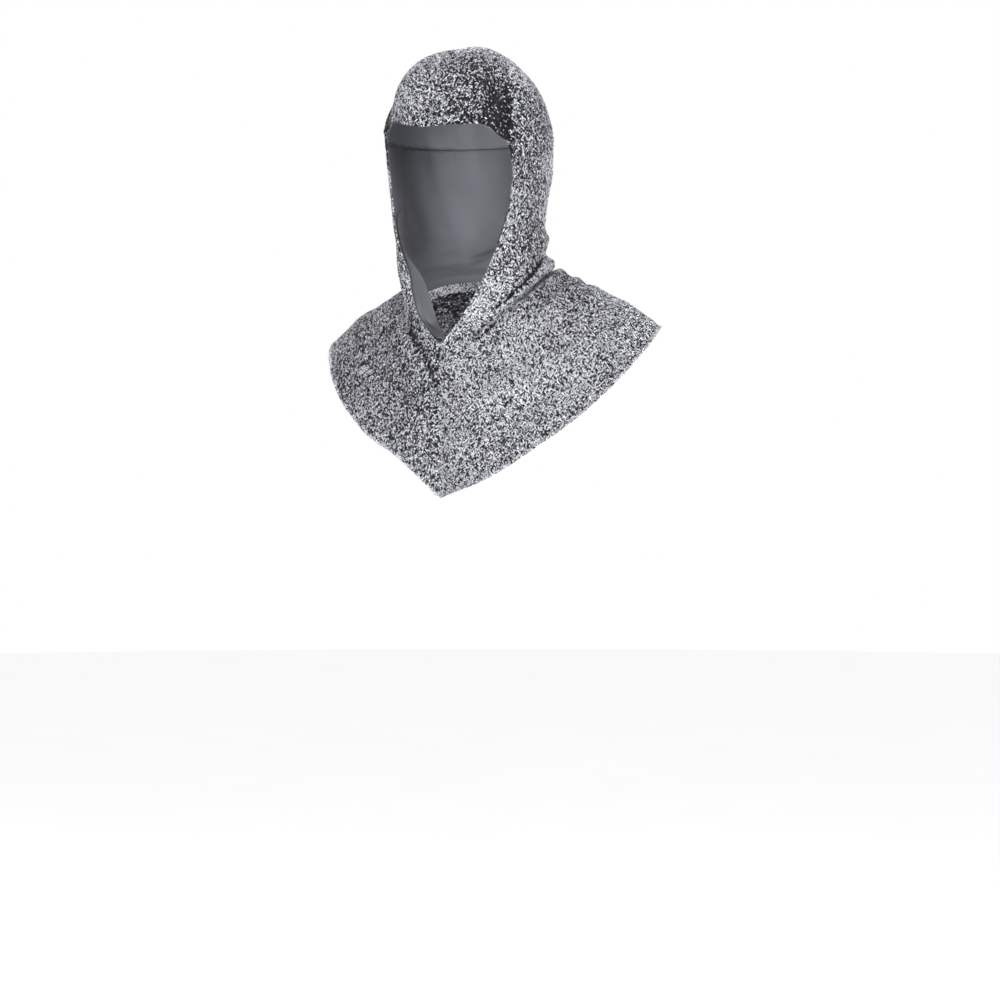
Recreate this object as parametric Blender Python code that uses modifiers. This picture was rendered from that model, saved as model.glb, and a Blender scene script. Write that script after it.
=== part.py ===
"""A hooded coif of mail-look cloth, as worn: a lined hood, and a pointed mantle over the shoulders.

The hood and the mantle are each lofted as one surface. Pieces are cut out of it as the real cloth is cut,
and Solidify gives each its wall. The hood is seamed along the centre and lined in plain cloth: a crown
piece, a left and a right side piece, and a facing down each front edge. Inside the nape shows the seam
allowance of the mail cloth, turned down.

Metres, +Z up. The face looks along -Y and +X is the wearer's left. The origin is where the wearer's
crown touches the lining.
"""

import math
from collections import namedtuple

import bmesh
import bpy
from mathutils import Vector

# Walls and gaps.
MAIL_WALL = 0.002
LINING_WALL = 0.001
LAYER_GAP = 0.0005  # between two layers of cloth
SEAM_GAP = 0.0003  # between two pieces sewn edge to edge
CROWN_RISE = MAIL_WALL + LAYER_GAP + LINING_WALL  # from the wearer's crown to the outside of the hood

# The dome of the hood, from the crown down to the level of the forehead edge.
DOME_HALF_WIDTH = 0.107
DOME_FRONT_REACH = 0.1256
DOME_BACK_REACH = 0.123
BROW_FLATTEN = 0.022  # how much flatter the forehead is than the oval
CROWN_SETBACK = 0.006  # how far back the crown leans
BROW_DROP = 0.1200  # from the outside of the crown down to the forehead edge
CORNER_ROUNDING = 0.6  # share of the way to the corner where that edge starts to turn down

# The hood sits a little askew: the face opening's right corner rides up and stands out.
CORNER_LIFT = 0.022
LIFT_BACK = 70.0  # degrees behind the corner where the lift has died out
LIFT_DOWN = 0.6  # share of the side's height below it where it has died out
CORNER_FLARE = 0.013
FLARE_SPREAD = 8.0  # degrees round the hood
FLARE_SHARPNESS = 3  # how much sooner the flare dies out than the lift, up and down the hood

# The temple fold runs up from each corner of the face opening: the crown's cloth sinks under the side's.
FOLD_DEPTH = 0.008
FOLD_APPROACH = 26.0  # degrees over which the crown's cloth sinks
FOLD_RISE = 10.0  # degrees over which the side's cloth stands up again
FOLD_TOP = 24.0  # degrees from the pole, where the fold has died out
FOLD_LEAN = 0.14  # degrees back for each degree up
FOLD_FULL = 78.0  # and where it is at its full depth
FOLD_TAIL = 0.16  # share of the side's height over which the fold runs out below the corner

# The sides of the hood, row by row from the forehead level down to the neck seam. The front edge of each
# row is the face opening. Below the cheek the right side's cloth reaches further round than the left's.
HoodRow = namedtuple(
    "HoodRow", "edge_drop edge_angle right_edge_angle back_drop half_width front_reach back_reach"
)
HOOD_ROWS = (
    HoodRow(0.138, 64.5, 64.5, 0.131, 0.1070, 0.1256, 0.1230),
    HoodRow(0.175, 63.7, 63.7, 0.158, 0.1060, 0.1106, 0.1210),
    HoodRow(0.212, 62.7, 61.5, 0.184, 0.1035, 0.1060, 0.1175),
    HoodRow(0.250, 57.7, 50.0, 0.210, 0.1000, 0.1010, 0.1125),
    HoodRow(0.290, 46.0, 31.5, 0.235, 0.0970, 0.0935, 0.1120),
    HoodRow(0.330, 33.5, 26.0, 0.257, 0.0945, 0.0905, 0.1150),
    HoodRow(0.367, 19.5, 19.5, 0.278, 0.0920, 0.0850, 0.1140),
    HoodRow(0.404, 3.00, 3.00, 0.298, 0.0890, 0.0780, 0.1060),
)
SIDE_DROP_POWER = 1.9  # how late a row drops on its way from the back to the front edge

# The rim of the mantle: its drop below the crown on either side, at angles round from the front.
RimPoint = namedtuple("RimPoint", "angle left_drop right_drop")
RIM = (
    RimPoint(0, 0.6075, 0.6075),
    RimPoint(15, 0.584, 0.556),
    RimPoint(30, 0.547, 0.522),
    RimPoint(45, 0.507, 0.480),
    RimPoint(60, 0.464, 0.437),
    RimPoint(75, 0.424, 0.402),
    RimPoint(90, 0.394, 0.384),
    RimPoint(105, 0.381, 0.379),
    RimPoint(120, 0.388, 0.386),
    RimPoint(135, 0.412, 0.410),
    RimPoint(150, 0.447, 0.446),
    RimPoint(165, 0.489, 0.489),
    RimPoint(180, 0.522, 0.522),
)
LEFT_HALF_WIDTH = 0.255
RIGHT_HALF_WIDTH = 0.248
SHOULDER_SETBACK = 0.050  # the shoulders' line lies behind the crown
CHEST_REACH = 0.129  # from the shoulders' line forward
SHOULDER_BLADE_REACH = 0.112  # and back

# How the mantle bends on its way out from the neck, at evenly spaced angles from the front to the back:
# where the bend is on the way, and what share of the drop it has made by then.
Bend = namedtuple("Bend", "angle along drop_share")
BENDS = (
    Bend(0, 0.50, 0.50),
    Bend(45, 0.54, 0.30),
    Bend(90, 0.55, 0.10),
    Bend(135, 0.60, 0.20),
    Bend(180, 0.70, 0.25),
)

# Rolls of slack cloth round the back and the sides of the neck: on the mantle, and above the seam.
Roll = namedtuple("Roll", "place width height")
MANTLE_ROLLS = (
    Roll(0.090, 0.050, 0.0110),
    Roll(0.250, 0.055, 0.0070),
    Roll(0.400, 0.060, 0.0030),
)
NAPE_ROLLS = (
    Roll(0.70, 0.085, 0.0080),
    Roll(0.90, 0.050, 0.0070),
)
ROLLS_START_LEFT = 30.0  # degrees round from the front, where the rolls begin on either side
ROLLS_START_RIGHT = 70.0
ROLLS_RISE = 55.0  # degrees from there to where they are full
ROLLS_WANE = 120.0  # where they start to die down to the centre back
ROLLS_AT_BACK = 0.45  # how much of them is left there
ROLLS_OFF_SEAM = 0.05  # share of the way out where they are clear of the neck seam

# On the left the slack cloth also pushes the neck seam out.
NECK_SLACK = 0.012
SLACK_TOP = 0.76  # share of the side's height where the cloth starts to go out
SLACK_FULL = 0.93

# The right facing stands out from behind its edge, across the throat, by so many degrees at places
# evenly spaced down it.
LIP_DEGREES = (4.0, 7.0, 14.0, 18.0, 13.0)
LIP_COLUMNS = 3

# The mesh. Rows of the dome are in degrees from the pole, columns in shares of the way round to the back.
DOME_LATITUDES = (0, 12, 24, 36, 47, 57, 66, 74, 82, 90)
BROW_SHARES = (0, 0.22, 0.42, 0.60, 0.74, 0.86, 0.95)
SIDE_SHARES = (0, 0.04, 0.08, 0.12, 0.165, 0.215, 0.275, 0.335, 0.40)
SIDE_SHARES += (0.47, 0.54, 0.615, 0.69, 0.765, 0.84, 0.92, 1)
SIDE_STEPS = 11
MANTLE_SHARES = (0, 0.045, 0.095, 0.17, 0.25, 0.33, 0.42, 0.54, 0.69, 0.85, 1)
DOME_LAST = len(DOME_LATITUDES) - 1
NECK_ROW = DOME_LAST + SIDE_STEPS

# Where pieces begin and end on the mesh, in its rows and columns.
CURTAIN_TOP = DOME_LAST - 1  # the crown lining above, the side linings below
FACING_ROWS = range(DOME_LAST + 4, NECK_ROW - 1)
FACING_COLUMNS = 4
BAND_START = 6  # columns round from the face opening

ON_SEAM = 0.002  # points this near the centre plane lie on the centre seam


def smooth(share):
    """Eases a share of 0 to 1 in and out."""
    share = min(1.0, max(0.0, share))
    return share * share * (3 - 2 * share)


def through(values, at):
    """A smooth curve through evenly spaced values, read at a share of 0 to 1 of its length."""
    last = len(values) - 1
    place = min(max(at, 0.0), 1.0) * last
    start = min(int(place), last - 1)
    t = place - start
    low, high = values[start], values[start + 1]
    before = values[start - 1] if start else 2 * low - high
    after = values[start + 2] if start + 2 <= last else 2 * high - low
    bend = 2 * before - 5 * low + 4 * high - after
    twist = 3 * (low - high) + after - before
    return low + 0.5 * t * (high - before + t * (bend + t * twist))


def column(table, name, at):
    """One named column of a table, read smoothly at a share of 0 to 1 down the table."""
    return through([getattr(row, name) for row in table], at)


def oval(angle, half_width, front_reach, back_reach):
    """A point of an oval about the crown's axis, at an angle in degrees round from the front."""
    turn = math.radians(angle)
    reach = front_reach if angle < 90 else back_reach
    return half_width * math.sin(turn), -reach * math.cos(turn)


def ridge(roll, share):
    """The height of a roll of cloth, at a share of the way along the cloth."""
    return roll.height * math.exp(-(((share - roll.place) / roll.width) ** 2))


def rolls_share(side, angle):
    """How full the rolls are at this angle: none at the front, all of them behind the shoulder."""
    start = ROLLS_START_LEFT if side > 0 else ROLLS_START_RIGHT
    wane = smooth((angle - ROLLS_WANE) / (180 - ROLLS_WANE))
    return smooth((angle - start) / ROLLS_RISE) * (1 - (1 - ROLLS_AT_BACK) * wane)


def neck_slack(down, side, angle):
    """How far the slack cloth pushes the foot of the hood out, across and forward."""
    if side < 0:
        return 0.0, 0.0
    out = NECK_SLACK * smooth((down - SLACK_TOP) / (SLACK_FULL - SLACK_TOP)) * rolls_share(side, angle)
    return oval(angle, out, out, out)


def fold_angle(latitude):
    """The temple fold's angle round from the front, at a latitude in degrees from the pole."""
    return HOOD_ROWS[0].edge_angle + (90 - latitude) * FOLD_LEAN


def fold_sink(latitude, angle):
    """How far the temple fold pulls the cloth in."""
    past = angle - fold_angle(latitude)
    across = smooth(1 + past / FOLD_APPROACH) if past < 0 else 1 - smooth(past / FOLD_RISE)
    return FOLD_DEPTH * across * smooth((latitude - FOLD_TOP) / (FOLD_FULL - FOLD_TOP))


def side_point(down, angle):
    """A point of the hood below the forehead level, as x, y and drop."""
    row = HoodRow(*(column(HOOD_ROWS, name, down) for name in HoodRow._fields))
    x, y = oval(angle, row.half_width, row.front_reach, row.back_reach)
    to_edge = (1 + math.cos(math.radians(angle))) / (1 + math.cos(math.radians(row.edge_angle)))
    return x, y, row.back_drop + (row.edge_drop - row.back_drop) * to_edge**SIDE_DROP_POWER


def edge_angle(side, down):
    """The face opening's angle at a share of the way down the sides."""
    return column(HOOD_ROWS, "edge_angle" if side > 0 else "right_edge_angle", down)


def dome_drop(angle):
    """How far below the crown the dome ends: at the forehead edge, then at the top of the sides."""
    corner = HOOD_ROWS[0].edge_angle
    if angle < corner:
        to_corner = smooth((angle / corner - CORNER_ROUNDING) / (1 - CORNER_ROUNDING))
        return BROW_DROP + (HOOD_ROWS[0].edge_drop - BROW_DROP) * to_corner
    return side_point(0, angle)[2]


def dome_point(latitude, angle):
    """A point of the hood's dome, as x, y and drop."""
    lift = math.radians(latitude)
    x, y = oval(angle, DOME_HALF_WIDTH, DOME_FRONT_REACH, DOME_BACK_REACH)
    y += BROW_FLATTEN * max(0.0, 1 - (angle / HOOD_ROWS[0].edge_angle) ** 2) ** 2
    back = CROWN_SETBACK * (1 - smooth(latitude / 90))
    return x * math.sin(lift), y * math.sin(lift) + back, dome_drop(angle) * (1 - math.cos(lift))


def askew(side, angle, level):
    """The lift and the flare at a point of the hood. Its level is 1 at the corner, less above and below."""
    if side > 0:
        return 0.0, 0.0
    corner = HOOD_ROWS[0].edge_angle
    around = smooth(angle / corner) if angle < corner else 1 - smooth((angle - corner) / LIFT_BACK)
    near = math.exp(-(((angle - corner) / FLARE_SPREAD) ** 2)) * smooth(1 - FLARE_SHARPNESS * (1 - level))
    return CORNER_LIFT * around * smooth(level), CORNER_FLARE * near


def hood_point(row, side, angle):
    """A point of the hood's surface and how far the cloth stands out of its plain form there."""
    if row <= DOME_LAST:
        latitude = DOME_LATITUDES[row]
        x, y, drop = dome_point(latitude, angle)
        level = latitude / 90
        relief = -fold_sink(latitude, angle)
    else:
        down = (row - DOME_LAST) / SIDE_STEPS
        x, y, drop = side_point(down, angle)
        across, forward = neck_slack(down, side, angle)
        x, y = x + across, y + forward
        level = 1 - down / LIFT_DOWN
        fold = fold_sink(90, angle) * (1 - smooth(down / FOLD_TAIL))
        rolls = sum(ridge(roll, down) for roll in NAPE_ROLLS)
        relief = rolls * rolls_share(side, angle) - fold
    lift, flare = askew(side, angle, level)
    return Vector((side * x, y, CROWN_RISE - drop + lift)), relief + flare


def mantle_point(share, side, angle):
    """A point of the mantle's surface, from the neck seam (0) to the rim (1), and its relief."""
    x, y, drop = side_point(1, angle)
    across, forward = neck_slack(1, side, angle)
    start = Vector((x + across, y + forward, CROWN_RISE - drop - SEAM_GAP))
    turn = math.radians(angle)
    reach = CHEST_REACH if angle < 90 else SHOULDER_BLADE_REACH
    half_width, drop_name = (LEFT_HALF_WIDTH, "left_drop") if side > 0 else (RIGHT_HALF_WIDTH, "right_drop")
    rim_y = SHOULDER_SETBACK - reach * math.cos(turn)
    rim = Vector((half_width * math.sin(turn), rim_y, CROWN_RISE - column(RIM, drop_name, angle / 180)))
    bend = start.lerp(rim, column(BENDS, "along", angle / 180))
    bend.z = start.z + (rim.z - start.z) * column(BENDS, "drop_share", angle / 180)
    point = start.lerp(bend, share).lerp(bend.lerp(rim, share), share)
    point.x *= side
    rolls = sum(ridge(roll, share) for roll in MANTLE_ROLLS)
    return point, rolls * rolls_share(side, angle) * smooth(share / ROLLS_OFF_SEAM)


class Surface:
    """The outside of a cloth form: points in rows and closed rings of columns, with their normals."""

    def __init__(self, points, cells, columns):
        self.columns = columns
        self.cells = cells
        self.points = {key: place for key, (place, _) in points.items()}
        normals = self.find_normals()
        for key, (_, relief) in points.items():
            self.points[key] = self.points[key] + normals[key] * relief
        self.normals = self.find_normals()

    def corners(self, cell):
        """The corners of the cell below and after a row and column. The pole is one point."""
        row, place = cell
        after = (place + 1) % self.columns
        keys = []
        for key in ((row, place), (row, after), (row + 1, after), (row + 1, place)):
            key = key if key in self.points else (key[0], "pole")
            if key not in keys:
                keys.append(key)
        return keys

    def mesh_of(self, cells, place_of):
        """A mesh of these cells, and its points by row and column."""
        mesh = bmesh.new()
        verts = {}
        for cell in cells:
            keys = self.corners(cell)
            for key in keys:
                if key not in verts:
                    verts[key] = mesh.verts.new(place_of(key))
            mesh.faces.new([verts[key] for key in keys])
        mesh.normal_update()
        return mesh, verts

    def find_normals(self):
        """The outward normal of every point."""
        mesh, verts = self.mesh_of(self.cells, self.points.get)
        normals = {key: vert.normal.copy() for key, vert in verts.items()}
        mesh.free()
        return normals


def hood_columns():
    """The hood's columns as side, face-side or not, and share, from the centre back round by the left."""
    left = [(1, False, share) for share in reversed(SIDE_SHARES)]
    left += [(1, True, share) for share in reversed(BROW_SHARES)]
    right = [(-1, True, share) for share in BROW_SHARES[1:]]
    right += [(-1, False, share) for share in SIDE_SHARES[:-1]]
    return left + right


def hood_surface():
    """The whole hood, with the cells that the face opening takes away left out."""
    columns = hood_columns()
    points, cells = {(0, "pole"): hood_point(0, 1, 0)}, []
    for row in range(NECK_ROW + 1):
        hanging = row > DOME_LAST
        for place, (side, brow, share) in enumerate(columns):
            if row == 0 or (hanging and brow):
                continue
            down = (row - DOME_LAST) / SIDE_STEPS
            start = edge_angle(side, down) if hanging else fold_angle(DOME_LATITUDES[row])
            angle = start * share if brow else start + (180 - start) * share
            points[row, place] = hood_point(row, side, angle)
    for row in range(NECK_ROW):
        for place in range(len(columns)):
            after = (place + 1) % len(columns)
            if row < DOME_LAST or {(row + 1, place), (row + 1, after)} <= points.keys():
                cells.append((row, place))
    return Surface(points, cells, len(columns))


def facing_surface(side):
    """The strip that a facing lies along, a little wider than the mail cloth's edge on the right."""
    lip = LIP_COLUMNS if side < 0 else 0
    shares = SIDE_SHARES[: FACING_COLUMNS + 1]
    points = {}
    for row in (*FACING_ROWS, FACING_ROWS[-1] + 1):
        down = (row - DOME_LAST) / SIDE_STEPS
        edge = edge_angle(side, down)
        lip_angle = edge - through(LIP_DEGREES, (row - FACING_ROWS[0]) / len(FACING_ROWS))
        angles = [lip_angle + (edge - lip_angle) * step / lip for step in range(lip)]
        angles += [edge + (180 - edge) * share for share in shares]
        for place, angle in enumerate(angles if side < 0 else reversed(angles)):
            points[row, place] = hood_point(row, side, angle)
    cells = [(row, place) for row in FACING_ROWS for place in range(lip + FACING_COLUMNS)]
    return Surface(points, cells, len(shares) + lip)


def mantle_surface():
    """The whole mantle, from the centre back round by the left. Its columns carry on the hood's."""
    throat = HOOD_ROWS[-1].edge_angle
    angles = [0] + [throat + (180 - throat) * share for share in SIDE_SHARES]
    columns = [(1, angle) for angle in reversed(angles)]
    columns += [(-1, angle) for angle in angles[1:-1]]
    points = {}
    for row, share in enumerate(MANTLE_SHARES):
        for place, (side, angle) in enumerate(columns):
            points[row, place] = mantle_point(share, side, angle)
    cells = [(row, place) for row in range(len(MANTLE_SHARES) - 1) for place in range(len(columns))]
    return Surface(points, cells, len(columns))


def make_material(name, color, roughness, metallic):
    """A Principled material."""
    material = bpy.data.materials.new(name)
    material.use_nodes = True
    shader = material.node_tree.nodes["Principled BSDF"]
    shader.inputs["Base Color"].default_value = (*color, 1)
    shader.inputs["Roughness"].default_value = roughness
    shader.inputs["Metallic"].default_value = metallic
    return material


def cut_piece(
    collection,
    name,
    surface,
    cells,
    wall,
    material,
    depth=0.0,
    seam_side=0,
    lowered_row=None,
    level_row=None,
):
    """Cuts cells of a surface out as one piece of cloth, at a depth under it, and gives it its wall.

    A piece with a seam_side ends at the centre seam. The points of a lowered_row move down by a seam gap.
    Those of a level_row keep the surface's height through the wall, so layers end flush there.
    """

    def place_of(key):
        place = surface.points[key] - surface.normals[key] * depth
        if key[0] == lowered_row:
            place.z -= SEAM_GAP
        if key[0] == level_row:
            place.z = surface.points[key].z
        return place

    flat, verts = surface.mesh_of(cells, place_of)
    data = bpy.data.meshes.new(name)
    flat.to_mesh(data)
    flat.free()
    data.materials.append(material)
    piece = bpy.data.objects.new(name, data)
    collection.objects.link(piece)
    solidify = piece.modifiers.new("Wall", "SOLIDIFY")
    solidify.thickness = wall
    solidify.offset = -1
    solidify.use_rim = True
    walled = bpy.data.meshes.new_from_object(piece.evaluated_get(bpy.context.evaluated_depsgraph_get()))
    piece.modifiers.clear()
    piece.data = walled
    bpy.data.meshes.remove(data)
    walled.name = name
    for index, key in enumerate(verts):
        outer, inner = walled.vertices[index], walled.vertices[index + len(verts)]
        if key[0] == level_row:
            inner.co.z = outer.co.z
        if seam_side and abs(outer.co.x) < ON_SEAM:
            outer.co.x = inner.co.x = seam_side * SEAM_GAP / 2
    return piece


def main():
    for item in list(bpy.data.objects):
        bpy.data.objects.remove(item)
    collection = bpy.data.collections.new("chainmail_coif")
    bpy.context.scene.collection.children.link(collection)
    mail = make_material("metallic knit", (0.42, 0.43, 0.46), 0.42, 0.6)
    plain = make_material("lining", (0.16, 0.16, 0.17), 0.85, 0.0)

    hood = hood_surface()
    mantle = mantle_surface()
    lining_depth = MAIL_WALL + LAYER_GAP
    inner_depth = lining_depth + LINING_WALL + LAYER_GAP
    faced = len(SIDE_SHARES) - 1  # columns from the centre back to the face opening

    def hood_piece(name, keep, wall, material, depth=0.0, seam_side=0, lowered_row=None):
        """Cuts a piece from the hood's cells that keep(side, row, columns from the centre back) picks."""
        cells = []
        for row, place in hood.cells:
            side = 1 if place < hood.columns // 2 else -1
            if keep(side, row, place if side > 0 else hood.columns - 1 - place):
                cells.append((row, place))
        cut_piece(collection, name, hood, cells, wall, material, depth, seam_side, lowered_row, NECK_ROW)

    def in_curtain(row, from_back):
        return row >= CURTAIN_TOP and from_back < faced

    hood_piece("lining_crown", lambda side, row, _: row < CURTAIN_TOP, LINING_WALL, plain, lining_depth)
    for word, hand in (("left", 1), ("right", -1)):
        hood_piece(f"hood_{word}", lambda side, *_: side == hand, MAIL_WALL, mail, seam_side=hand)
        hood_piece(
            f"lining_{word}",
            lambda side, row, from_back: side == hand and in_curtain(row, from_back),
            LINING_WALL,
            plain,
            lining_depth,
            hand,
            CURTAIN_TOP,
        )
        strip = facing_surface(hand)
        depth = inner_depth + LAYER_GAP
        cut_piece(collection, f"facing_{word}", strip, strip.cells, LINING_WALL, plain, depth)
        half = range(mantle.columns // 2) if hand > 0 else range(mantle.columns // 2, mantle.columns)
        shell = [cell for cell in mantle.cells if cell[1] in half]
        cut_piece(collection, f"mantle_{word}", mantle, shell, MAIL_WALL, mail, seam_side=hand)
    hood_piece(
        "neck_band",
        lambda side, row, from_back: row == NECK_ROW - 1 and from_back < faced - BAND_START,
        MAIL_WALL,
        mail,
        inner_depth,
    )


main()
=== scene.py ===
"""A hooded coif of mail-look tinsel knit, as worn: a lined hood, and a pointed mantle over the shoulders.

Every cloth piece is cut from a fine surface on the same form as its solid in the frame, with its creases
placed one by one. The tinsel of the knit is set over the mail pieces as small bright stitches.

Metres, +Z up. The face looks along -Y and +X is the wearer's left.
"""

import logging
import math
from abc import ABC, abstractmethod
from collections.abc import Callable, Iterable
from dataclasses import dataclass, field
from enum import Enum
from functools import lru_cache

import bmesh
import bpy
import numpy as np
from bmesh.types import BMEdge, BMesh, BMLayerItem, BMVert
from bpy.types import Material, Node, NodeSocket, NodeTree, Object
from mathutils import Matrix, Vector, noise


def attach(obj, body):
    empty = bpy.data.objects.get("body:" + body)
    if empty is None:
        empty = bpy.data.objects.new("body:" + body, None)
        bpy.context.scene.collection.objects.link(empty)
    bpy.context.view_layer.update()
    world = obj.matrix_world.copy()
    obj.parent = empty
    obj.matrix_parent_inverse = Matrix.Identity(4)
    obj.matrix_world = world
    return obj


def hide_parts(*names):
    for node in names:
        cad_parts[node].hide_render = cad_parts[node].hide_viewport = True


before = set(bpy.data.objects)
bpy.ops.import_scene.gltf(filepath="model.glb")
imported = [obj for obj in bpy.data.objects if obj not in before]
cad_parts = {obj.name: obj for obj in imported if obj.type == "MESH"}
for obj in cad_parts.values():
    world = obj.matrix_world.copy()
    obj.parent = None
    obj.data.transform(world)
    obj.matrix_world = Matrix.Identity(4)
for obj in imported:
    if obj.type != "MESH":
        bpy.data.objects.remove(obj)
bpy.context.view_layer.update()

Pair = tuple[float, float]
Triple = tuple[float, float, float]  # a place, or a colour as red, green and blue

log = logging.getLogger("coif")

BODY = "root"

MAIL_WALL = 0.002
LINING_WALL = 0.001
LAYER_GAP = 0.0005  # between two layers of cloth
SEAM_GAP = 0.0003  # between two pieces sewn edge to edge
CROWN_RISE = MAIL_WALL + LAYER_GAP + LINING_WALL  # from the wearer's crown to the outside of the hood
LINING_DEPTH = MAIL_WALL + LAYER_GAP
INNER_DEPTH = LINING_DEPTH + LINING_WALL + LAYER_GAP

MERGE = 0.00002  # points this near each other are one
UV_NAME = "cloth"
GLINT = "glint"  # the attribute that holds each tinsel stitch's own random number
TONE = "tone"  # the attribute that holds the painted light, or below 0 the painted shade, at each point of the cloth
LEVEL = "level"  # the attributes that hold where on its form a point lies
ANGLE = "angle"
DIGITS = 6  # the decimals of a metre that points are told apart by

ALL_BUT_FOOT = 1.999  # the hood's levels above its last row
SOLID_ROWS = 11  # the rows of facets down the sides of the hood's solid
OUT_AND_UP = 0.05  # how much a face that points up counts as pointing outwards

BANK = 0.35  # how much a crease's banks stand up
CREASE_END = 0.02  # the share of a crease, at either end, over which its height falls no more
CREASE_TAPER = 0.7  # the lower it is, the nearer to its ends a crease keeps its height
TONE_OF_LIFT = 22.0  # how much painted light a ridge gets, and painted shade a trough, for each metre of height
SEWN = 0.04  # how much of a level away from the neck seam the creases have their full height

STITCH_SLANT = 1.6  # how steeply the legs of a knitted stitch run
LEG_SHARE = 0.7  # how much of the yarn's height the legs make
YARN_SHARE = 0.3  # and how much it has everywhere
SPARED_POWER = 7.0  # the higher it is, the fewer numbers count as very high


class Side(Enum):
    """The wearer's left, at +X, and right."""

    LEFT = 1
    RIGHT = -1

    @property
    def word(self) -> str:
        """The side's name in piece names."""
        return self.name.lower()


class Slot(Enum):
    """The record's material slots."""

    MAIL = "metallic_knit"
    LINING = "lining"


def smooth(share: float) -> float:
    """Eases a share of 0 to 1 in and out."""
    share = min(1.0, max(0.0, share))
    return share * share * (3 - 2 * share)


def bell(distance: float, width: float) -> float:
    """A soft bump of height 1 that dies out over about two widths."""
    return math.exp(-((distance / width) ** 2))


def through(values: list[float], at: float) -> float:
    """Reads a smooth curve through evenly spaced values.

    Args:
        values: the values that the curve passes through.
        at: the share of 0 to 1 of its length to read it at.

    Returns:
        The curve's value there.
    """
    last = len(values) - 1
    place = min(max(at, 0.0), 1.0) * last
    start = min(int(place), last - 1)
    t = place - start
    low, high = values[start], values[start + 1]
    before = values[start - 1] if start else 2 * low - high
    after = values[start + 2] if start + 2 <= last else 2 * high - low
    bend = 2 * before - 5 * low + 4 * high - after
    twist = 3 * (low - high) + after - before
    return low + 0.5 * t * (high - before + t * (bend + t * twist))


def column(table: tuple, name: str, at: float) -> float:
    """Reads one named column of a table, smoothly, at a share of 0 to 1 down the table."""
    return through([getattr(row, name) for row in table], at)


def oval(angle: float, half_width: float, front_reach: float, back_reach: float) -> Pair:
    """A point of an oval about the crown's axis.

    Args:
        angle: degrees from the front.
        half_width: its reach to the side.
        front_reach: its reach forwards.
        back_reach: its reach backwards.

    Returns:
        The point's x and y on the wearer's left.
    """
    turn = math.radians(angle)
    reach = front_reach if angle < 90 else back_reach
    return half_width * math.sin(turn), -reach * math.cos(turn)


def in_fold(past: float, approach: float, rise: float) -> float:
    """How deep in a fold, from 0 to 1, a place lies that is so many degrees past the fold's line."""
    return smooth(1 + past / approach) if past < 0 else 1 - smooth(past / rise)


@dataclass(frozen=True)
class Roll:
    """A roll of slack cloth: its place, as a share of the cloth's length, its width and its height."""

    place: float
    width: float
    height: float

    def at(self, share: float) -> float:
        """Its height at a share of the way along the cloth."""
        return self.height * bell(share - self.place, self.width)


@dataclass(frozen=True)
class RollSweep:
    """How the rolls round the neck come and go, by degrees round from the front."""

    start_left: float = 30.0
    start_right: float = 70.0
    rise: float = 55.0
    wane: float = 120.0
    at_back: float = 0.45

    def share(self, side: Side, angle: float) -> float:
        """How full the rolls are: none at the front, all of them behind the shoulder.

        Args:
            side: the side.
            angle: degrees from the front.

        Returns:
            The share of the rolls' height.
        """
        start = self.start_left if side is Side.LEFT else self.start_right
        wane = smooth((angle - self.wane) / (180 - self.wane))
        return smooth((angle - start) / self.rise) * (1 - (1 - self.at_back) * wane)


@dataclass(frozen=True)
class HoodRow:
    """A row of the hood's sides. Its front edge is the face opening, which is cut a little askew."""

    edge_drop: float
    edge_angle: float
    left_edge_angle: float
    right_edge_angle: float
    back_drop: float
    half_width: float
    front_reach: float
    back_reach: float


@dataclass(frozen=True)
class RimPoint:
    """A point of the mantle's rim: its angle round from the front and its drop on either side."""

    angle: float
    left_drop: float
    right_drop: float


@dataclass(frozen=True)
class Bend:
    """How the mantle bends on its way out: where, and what share of the drop it has made by then."""

    angle: float
    along: float
    drop_share: float


class Form(ABC):
    """A form that cloth takes. A place on it is a level down the cloth and an angle round from the front."""

    @abstractmethod
    def point(self, level: float, side: Side, angle: float) -> Vector:
        """The place in space of a point of the form."""

    @abstractmethod
    def relief(self, level: float, side: Side, angle: float) -> float:
        """How far the cloth stands out of the plain form there."""

    @abstractmethod
    def tone(self, level: float, side: Side, angle: float) -> float:
        """How much painted light, or below 0 painted shade, the form puts on the cloth there."""

    @abstractmethod
    def flat(self, level: float, angle: float) -> Pair:
        """The same place on the flat cloth, in metres across and down it."""


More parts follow.
